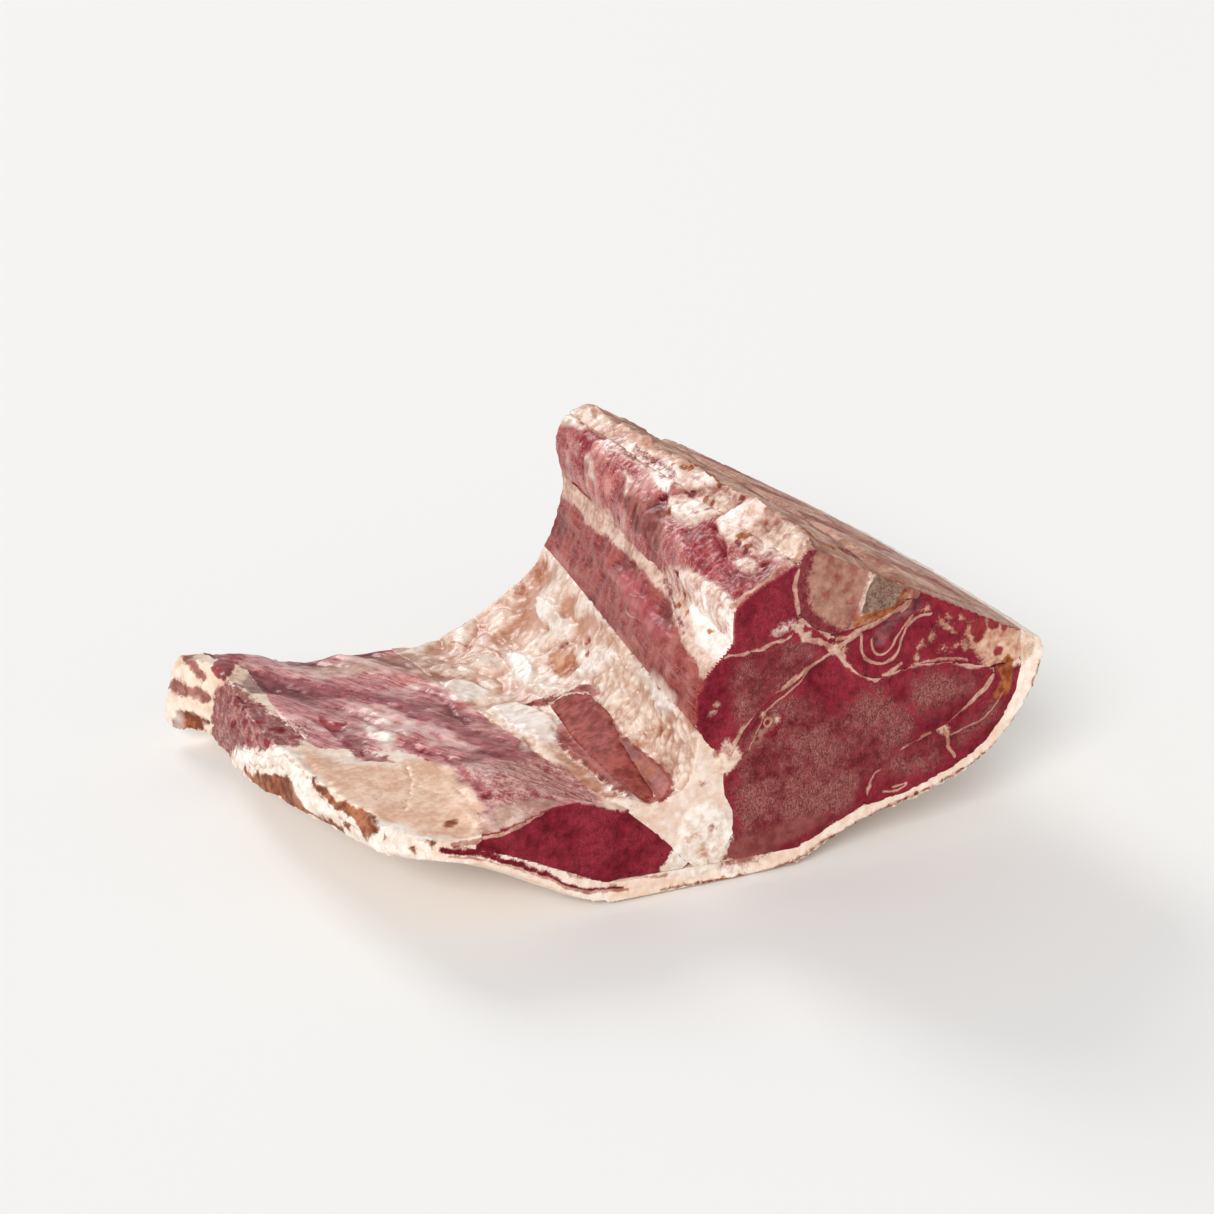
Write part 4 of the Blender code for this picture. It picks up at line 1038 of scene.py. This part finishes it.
    # Painted shade in the hollows of the relief, and a painted highlight on its tops.
    paint = glaze(put, paint, (painted_light_relief, -0.1, -0.8, 0.8, painted_shade, "MULTIPLY"),
                  (painted_light_relief, 0.3, 1.1, 0.5, painted_highlight, "MIX"))
    half_grit = put("Math", {0: grit, 1: 0.5}, operation="MULTIPLY")
    lumps = put("Mix", {0: is_cut, 2: streaked, 3: half_grit})
    relief, film = (put("Bump", {"Strength": 1.0, "Distance": share * bump * MM,
                                 "Height": lumps}) for share in (1.0, 0.5))
    put("OutputMaterial", {"Surface": put("BsdfPrincipled", {
        "Base Color": paint, "Roughness": sheen, "Normal": relief, "IOR": 1.4,
        "Specular IOR Level": 0.12, "Subsurface Weight": fat, "Subsurface Scale": 1.2 * MM,
        "Subsurface Radius": (1.0, 0.4, 0.25), "Coat Weight": wet,
        "Coat Roughness": 0.2, "Coat Normal": film})})
    print(name, "with", layers)
    return material


CUT_LEAN = ("5e0c1a", "922436", "b88078")
print("ground of cut lean:", CUT_LEAN)

# %% [markdown]
# ## Finishing a piece
#
# The solids leave a thin slit along each seam. Walls that face a neighbour swell to meet it,
# and open edges lean towards each other, so that no dark line shows between two pieces.

# %% Moving a skin out and painting it
HIDDEN_OUT = 0.32  # walls that face a neighbour move out at least this far
SKIN_OUT = 0.1  # shown surfaces stand this far out of the solid
EDGE_OUT = 0.3  # and this much further beside a seam
CLOSING = 1.4  # a slit narrower than this is closed
CLOSED = 0.85  # by this share
CALM = (0.3, 2.5)  # lumps die away over this stretch before a neighbour
BY_CUT = 1.3  # how deep the rim of a cut reaches


def moved_out(skin):
    """Where each vertex goes."""
    soft = skin.open | skin.rim | skin.sawn
    skin.rise -= soft * (1.0 - ramp(skin.gap, *CALM)) * skin.painted_light_relief
    out = np.where(skin.air, SKIN_OUT + skin.rise, np.maximum(HIDDEN_OUT, skin.meet * skin.room))
    out += soft * EDGE_OUT * (1.0 - ramp(skin.gap, 0.2, 1.3))
    moved = skin.place + skin.facing * out[:, None]
    # A cut is flat: relief there goes straight out of the knife's plane.
    for cut, outward in ((skin.front, -1.0), (skin.rear, 1.0)):
        moved[cut] = skin.place[cut]
        moved[cut, 1] = outward * (CUT_Y + SKIN_OUT + skin.rise[cut])
    touching = skin.air & (skin.gap < CLOSING)
    share = CLOSED * ramp(CLOSING - skin.gap[touching], 0.0, 0.8)
    moved[touching] += skin.toward[touching] * share[:, None]
    moved[:, 2] = np.maximum(moved[:, 2], 0.0)
    return moved


def even_rims(skin):
    """Smooths the rims of the two cuts."""
    by_cut = np.abs(np.abs(skin.place[:, 1]) - CUT_Y) < BY_CUT
    flat = (skin.front | skin.rear) & (np.abs(skin.facing[:, 1]) > 0.995)
    rims = np.flatnonzero(skin.air & (skin.gap > 1.0) & by_cut & ~flat)
    group = skin.piece.vertex_groups.new(name="rims of the cuts")
    group.add(rims.tolist(), 1.0, "REPLACE")
    modify(skin.piece, "even rims", "SMOOTH", factor=0.5, iterations=6, vertex_group=group.name)
    skin.piece.vertex_groups.clear()


def finish(skin, slot, name, cut, side, **looks):
    """Moves a skin out, keeps its marks as attributes, paints it and seats it."""
    mesh = skin.piece.data
    mesh.vertices.foreach_set("co", (moved_out(skin) * MM).astype(np.float32).ravel())
    # Only the bone itself shows sawn; the meat beside it has a skin of membrane again.
    bare = skin.front | skin.rear | skin.sawn & (skin.name == "chine_bone")
    for layer, values in {**skin.marks, "painted_light_relief": skin.painted_light_relief, "cut": bare}.items():
        kept = mesh.attributes.new(layer, "FLOAT", "POINT")
        kept.data.foreach_set("value", values.astype(np.float32))
    mesh.update()
    mesh.materials.append(tissue(name, cut, side, skin, **looks))
    even_rims(skin)
    bpy.ops.object.shade_smooth_by_angle(angle=math.radians(50))
    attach(skin.piece, "root")
    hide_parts(skin.name)
    triangles = sum(len(face.vertices) - 2 for face in mesh.polygons)
    print(skin.piece.name, triangles, "triangles; relief", skin.rise.min().round(2),
          "to", skin.rise.max().round(2), "mm")


print("hidden walls move out by", HIDDEN_OUT, "mm or more, shown ones by", SKIN_OUT)

# %% [markdown]
# ## The loin eye and the other cut muscles
#
# These muscles only show at their cut ends. The front cut is browner in the middle of each
# muscle, where the air has reached it longest, and crimson by the fascia. The rear cut
# can't be seen in the picture, so it follows the same rule, from each point's distance to
# the nearest seam.

# %% The loin eye
eye = prepared("eye_muscle", 1.2, reach=6.0, meet=0.95)
# Dark, light, a paler veil that is partly painted sheen, painted shade, painted highlight.
HIDDEN_LEAN = ("7c3038", "a45c5a", "c08c80", "a86868", "d8a89c")
finish(eye, "eye_meat", "wet cut lean, loin eye", CUT_LEAN, HIDDEN_LEAN,
       own={"meat": ("7a3938", "904c48", 0.85, 0.8, 1, 0.5)})

# %% The muscle over the backbone and the rump muscle
chine = prepared("chine_muscle", 1.1, bulge=0.25)
# Dark, light, a paler veil that is partly painted sheen, painted shade, painted highlight.
CHINE_SIDE = ("94564c", "c89a86", "d8b29c", "a86858", "e4c4b0")
finish(chine, "chine_meat", "wet cut lean, chine", CUT_LEAN, CHINE_SIDE, coat=0.15, marbling=0.4,
       own={"deep": ("7c1824", "9a2c38", 0.95, 0.4, 0.4, 0.4),
            "cream": ("b87c62", "e6c2a6", 0.92, 2.4, 0.9, 0.5)})

rump = prepared("rump_muscle", 0.9, bulge=0.25, seams=False)
finish(rump, "rump_meat", "wet cut lean, rump", CUT_LEAN, HIDDEN_LEAN)

# %% [markdown]
# ## The tenderloin and the small fillet
#
# These two lie open to the belly. Their sides are covered by a thin wet membrane and show
# long fibres that run with the spine, so the streaks run along y. A cream tendon crosses
# between them and stands up by about a millimetre.

# %% The tenderloin
tender = prepared("tenderloin", 1.0)
red = 1.0 - np.maximum(tender.inside("cream"), tender.inside("white"))
p = tender.place
tender.lift(tender.open * red * (0.4 * swell(p * [1.0, 0.12, 1.0], 3.4, 21)
                                 + 0.15 * swell(p * [1.0, 0.2, 1.0], 1.3, 23)))
# Dark, light, a paler veil that is partly painted sheen, painted shade, painted highlight.
FILLET_SIDE = ("74201f", "a64c46", "b06458", "a05c5c", "dcaaa0")
finish(tender, "fillet_meat", "skinned lean, tenderloin", CUT_LEAN, FILLET_SIDE,
       coat=0.16, bump=0.14, specks=0.2,
       own={"deep": ("902a34", "b44c54", 0.75, 2, 1.6, 0.4),
            "cream": ("b88a76", "e6cab8", 0.95, 1.6, 0.7, 0.4),
            "white": ("e4cebe", "fffaf4", 0.97, 1.8, 0.8, 0.4)})

# %% The small fillet
fillet = prepared("small_fillet", 0.9)
p = fillet.place
fats = np.maximum.reduce([fillet.inside(layer) for layer in ("cream", "white", "pearl")])
fillet.lift(fillet.open * (1.0 - fats) * (0.3 * rough(p * [0.6, 1.0, 0.6], 4.0, 29)
                                          + 0.1 * swell(p, 1.3, 31)))
lumpy(fillet, fillet.inside("cream"), 5.5, 0.35, 33)
lumpy(fillet, fillet.inside("flecks"), 3.2, 0.3, 35)
# Dark, light, a paler veil that is partly painted sheen, painted shade, painted highlight.
SMALL_SIDE = ("8e343a", "bc6c68", "d6a298", "a05058", "ecd0c6")
finish(fillet, "fillet_meat", "skinned lean, small fillet", CUT_LEAN, SMALL_SIDE,
       along=(0.7, 0.45, 0.55), streaks=0.3, coat=0.25, bump=0.14, specks=0.35, torn=0.55,
       own={"flecks": ("84202e", "b8605e", 0.85, 2, 1.2, 0.45),
            "deep": ("7c1c28", "a03440", 0.9, 1.6, 0.8, 0.4),
            "cream": ("b47a68", "ecd6c8", 0.88, 2.2, 0.9, 0.45),
            "white": ("dcb8a6", "fdf7f0", 0.95, 1.8, 0.8, 0.45)})

# %% [markdown]
# ## The flap
#
# The flap's muscle was pulled off its neighbour, so its top is a purplish membrane with
# wet streaks that run slantwise, a painted silvery shine and painted glints. On the front cut
# it is a crimson lens. The root muscle is the small brown-red leaf beside it.

# %% The flap's muscle
flank = prepared("flank_muscle", 1.2)
SLANT = math.radians(28.6)  # the streaks' direction, turned from the spine's
p = flank.place
across = p[:, 0] * math.cos(SLANT) + p[:, 1] * math.sin(SLANT)
along = -p[:, 0] * math.sin(SLANT) + p[:, 1] * math.cos(SLANT)
drawn = np.stack([across, 0.07 * along, p[:, 2]], axis=1)
flank.lift(flank.open * (1.0 - flank.inside("pad", 2.0))
           * (0.6 * swell(drawn, 7.0, 31) + 0.22 * swell(drawn, 2.4, 37)))
# Dark, light, a paler veil that is partly painted sheen, painted shade, painted highlight.
FLAP_SIDE = ("943640", "e29e9c", "f2d6d0", "985058", "f4dcd8")
finish(flank, "flank_meat", "wet purple membrane", CUT_LEAN, FLAP_SIDE,
       along=(-math.sin(SLANT), math.cos(SLANT), 0.0), coat=0.38, bump=0.2, specks=0.2,
       own={"plum": ("7c2834", "ac5c60", 0.85, 2, 1.4, 0.4),
            "deep": ("84202e", "a83c46", 0.9, 1.2, 0.8, 0.4)})

# %% The leaf of muscle at the flap's root
leaf = prepared("root_muscle", 0.7, bulge=0.0, seams=False, front_splits=1)
BED = ("7c2e28", "a8544a", 0.95, 1.2, 0.6, 0.6)
# Dark, light, a paler veil that is partly painted sheen, painted shade, painted highlight.
LEAF_SIDE = ("6c241e", "9c4a40", "a05844", "a06860", "c48c7c")
finish(leaf, "flank_meat", "skinned lean, leaf", CUT_LEAN, LEAF_SIDE,
       streaks=0.3, coat=0.08, bump=0.2, own={"meat": BED})

# %% [markdown]
# ## Fat
#
# The inner fat is suet and loose membrane: lobes of about 3 mm with a warm painted shade in the
# creases, and smooth wet lumps of 7 mm and more. The outer fat is one smooth sheet under the
# skin. It turns up at the flap's free edge in folds, and carries the pad that lies on the
# flap.

# %% The inner fat
inner = prepared("inner_fat", 1.0, bulge=0.0, seams=False)
suet = inner.open * inner.inside("suet", 1.5)
lumpy(inner, suet, 3.4, 0.8, 41)
calm = np.maximum(inner.inside("pearl", 1.5), inner.inside("meat", 1.5))
loose = inner.open * (1.0 - suet) * (1.0 - 0.8 * calm)
lumpy(inner, loose, 11.0, 1.1, 43, (1.0, 0.6, 1.0))
inner.lift(loose * (0.5 * swell(inner.place, 8.0, 49) + 0.1 * swell(inner.place, 3.5, 47)))
INNER_CUT = ("dcb8a0", "f3e2d6", "e0b8a0")
# Dark, light, a paler veil that is partly painted sheen, painted shade, painted highlight.
INNER_SIDE = ("ccaa94", "efe2d6", "e4c8b8", "cc9a82", "faf4ee")
finish(inner, "inner_fat", "suet and loose membrane", INNER_CUT, INNER_SIDE, streaks=0.0,
       warm="fff0e6", fat=0.15, coat=0.3, marbling=0.3, bump=0.12, specks=0.35,
       own={"brown": ("bf927c", "dcb8a2", 0.45, 3, 2.6, 0.5), "meat": BED,
            "suet": ("c49a82", "eedac8", 0.9, 1.6, 1, 0.4),
            "dried": ("a4542c", "d09466", 0.75, 2.2, 1.8, 0.5),
            "deep": ("8c2c30", "b45850", 0.85, 1.4, 0.8, 0.4),
            "pearl": ("d8c4b4", "f6eee6", 0.9, 1.4, 1.2, 0.3)})

# %% The outer fat
outer = prepared("outer_fat", 1.2, bulge=0.0, seams=False)
p = outer.place
low = outer.under & (p[:, 2] < 4.0)
for bend, drop in ((-21.7, 0.7), (22.1, 0.5)):  # rounds the bends that it rests on
    outer.rise[low] -= drop * np.exp(-((p[low, 0] - bend) / 5.0) ** 2)
folds = outer.rim * (1.0 - outer.inside("flecks"))
outer.lift(folds * (0.8 * np.abs(swell(p * [1.0, 0.1, 1.0], 3.0, 53)) - 0.3))
lumpy(outer, outer.inside("flecks"), 2.6, 0.45, 55)
outer.lift(outer.inside("pad", 2.0) * 0.3 * swell(p, 9.0, 57))
OUTER_CUT = ("e8c6ae", "f9ece0", "e8c2a8")
# Dark, light, a paler veil that is partly painted sheen, painted shade, painted highlight.
OUTER_SIDE = ("e6cbb6", "f6e8da", "f0dccb", "dab098", "fdf4ea")
finish(outer, "outer_fat", "fat cover", OUTER_CUT, OUTER_SIDE, streaks=0.1, fat=0.15,
       coat=0.3, marbling=0.2, warm="fff4ea", bump=0.15,
       own={"flecks": ("761a28", "ba7a74", 0.92, 2, 0.8, 0.35),
            "dried": ("6c2c10", "b46a40", 0.95, 1, 0.5, 0.6),
            "white": ("e2cdbc", "fcf5ec", 0.95, 1.2, 0.4, 0.45)})

# %% [markdown]
# ## The backbone
#
# The bone is sawn on three sides. On the front cut it is a pinkish plate of spongy bone
# with a white, torn crack towards the grey floor of the spinal canal. Along the crest,
# gristle and scraps of meat are left in lumps. Close behind the front cut the saw has
# opened a blood-filled slit beside the crest.

# %% The cracked plate and the lumpy crest
CREST_REACH = 7.0  # gristle is left this near the crest
KNOB_Y = (44.0, 50.0)  # where the smooth knob of the rib end begins
bone = prepared("chine_bone", 1.0, bulge=0.0)
p = bone.place
near = close(bone.front, p[:, [0, 2]], CRACK)
gap = to_line(p[near][:, [0, 2]] + 0.35 * several(p[near], 1.3, (59, 61)), curved(CRACK))
bone.mark("white", near, gap - 0.5)
bone.rise[near] += 0.4 * (1.0 - ramp(gap, 0.1, 0.8))
away = np.abs(bone.from_crest)
crest = bone.air & ~bone.front & (away < CREST_REACH)
crest = crest * ramp(CREST_REACH - away, 0.0, 4.0) * ramp(CUT_Y - np.abs(p[:, 1]), 0.0, 3.0)
crest = crest * (1.0 - 0.7 * ramp(p[:, 1], *KNOB_Y))
bone.lift(crest * 0.4 * np.maximum(rough(p, 5.5, 67), -0.5))
lumpy(bone, crest, 6.5, 0.4, 69)
lumpy(bone, bone.open * np.maximum(bone.inside("cream"), bone.inside("white")), 6.0, 0.35, 71)
bone.lift(bone.open * 0.2 * rough(p, 3.6, 73))
print("vertices on the crest:", np.count_nonzero(crest))

# %% The vertebrae on the sawn face
SPINE_GAP = 5.0  # half the room between two spines
sawn = np.flatnonzero(bone.sawn)
p, s = bone.place[sawn], bone.from_crest[sawn]
joint_y = (p[:, 1] + JOINT_SHIFT) % VERTEBRA - 0.5 * VERTEBRA
joint = np.abs(joint_y + 1.2 * swell(p, 5.0, 77)) - 1.2
bone.mark("pearl", sawn, np.where(s < CANAL[0] - 1.0, joint, FAR))
between_spines = np.abs(joint_y) - SPINE_GAP + 2.0 * rough(p, 5.0, 73)
bone.mark("deep", sawn, np.maximum(between_spines, SPINES_START - s))
bone.mark("plum", sawn, np.maximum(CANAL[0] - s, s - CANAL[1]))
in_canal = (s > CANAL[0]) & (s < CANAL[1])
bone.mark("pale", sawn, 2.5 * rough(p, 7.0, 79) - 1.0 + FAR * in_canal)
for layer, half, points in SAWN_STRIPS:
    gap = to_line(np.stack([s, p[:, 1]], axis=1), curved(points)) + 0.3 * swell(p, 2.0, 75) - half
    bone.mark(layer, sawn, gap)
    bone.rise[sawn] -= 0.5 * (1.0 - ramp(gap, -0.8, 0.2)) * (layer == "lean")
BONE_CUT = ("8c5648", "ba8c78", "d0aa96")
# Dark, light, a paler veil that is partly painted sheen, painted shade, painted highlight.
BONE_SIDE = ("a0604e", "caa08a", "d2ac96", "a85c50", "f0dccc")
finish(bone, "sawn_bone", "sawn spongy bone", BONE_CUT, BONE_SIDE, streaks=0.1, coat=0.25,
       marbling=0.5, bump=0.2, specks=0.3, torn=0.45,
       own={"cream": ("b07862", "ecd6c6", 0.88, 2.2, 0.9, 0.45),
            "white": ("d8b09c", "faf2ea", 0.95, 1.8, 0.8, 0.45),
            "brown": ("9c6450", "c49480", 0.5, 3, 2.6, 0.6),
            "pale": ("b88672", "e2bea8", 0.8, 2.4, 1.4, 0.5),
            "pearl": ("b48a74", "e2c6b2", 0.9, 1.6, 1.2, 0.35),
            "plum": ("8a4c42", "b88474", 0.6, 2, 1.6, 0.5),
            "lean": ("681c28", "8c383e", 0.95, 1.4, 0.8, 0.5),
            "deep": ("8c3a38", "a85c50", 0.7, 1, 0.8, 0.5)})

# %% [markdown]
# ## The room
#
# A pale floor with no edge in view, a pale world and two soft lights: a broad one over the
# camera's left, and a smaller one behind, which gives the wet glints.

# %% Floor, light and camera
bpy.ops.mesh.primitive_plane_add(size=8.0, location=(0.0, 0.0, 0.0))
floor = bpy.context.active_object
floor.name = "floor"
white = bpy.data.materials.new("matt white paper")
white.use_nodes = True
shader = white.node_tree.nodes["Principled BSDF"]
shader.inputs["Base Color"].default_value = colour("f4f3f1")
shader.inputs["Roughness"].default_value = 0.9
floor.data.materials.append(white)

scene = bpy.context.scene
scene.world = bpy.data.worlds.new("pale room")
scene.world.use_nodes = True
background = scene.world.node_tree.nodes["Background"]
background.inputs["Color"].default_value = (1.0, 1.0, 1.0, 1.0)
background.inputs["Strength"].default_value = 0.5

LIGHTS = {
    # the way to the light, strength (W/m2), how wide it looks (degrees)
    "broad key from the camera's left": ((-0.60, -0.62, 0.50), 2.1, 24.0),
    "window behind": ((-0.10, 0.84, 0.50), 1.0, 22.0),
}
for name, (way, strength, wide) in LIGHTS.items():
    lamp = bpy.data.lights.new(name, "SUN")
    lamp.energy = strength
    lamp.angle = math.radians(wide)
    linked(name, lamp).rotation_euler = Vector(way).to_track_quat("Z", "Y").to_euler()

LENS, SENSOR = 66.306, 36.0  # mm
CAMERA_PLACE = (-0.208604, -0.484297, 0.244076)  # metres
scene.view_settings.view_transform = "Standard"
camera = bpy.data.cameras.new("camera")
camera.sensor_width = SENSOR
camera.lens = LENS
back = Vector((-0.380979, -0.855693, 0.350207)).normalized()  # from the meat to the camera
right = Vector((0.0, 0.0, 1.0)).cross(back).normalized()
pose = Matrix((right, back.cross(right), back)).transposed().to_4x4()
pose.translation = CAMERA_PLACE
scene.camera = linked("camera", camera)
scene.camera.matrix_world = pose
print("camera at", tuple(round(v, 3) for v in CAMERA_PLACE))
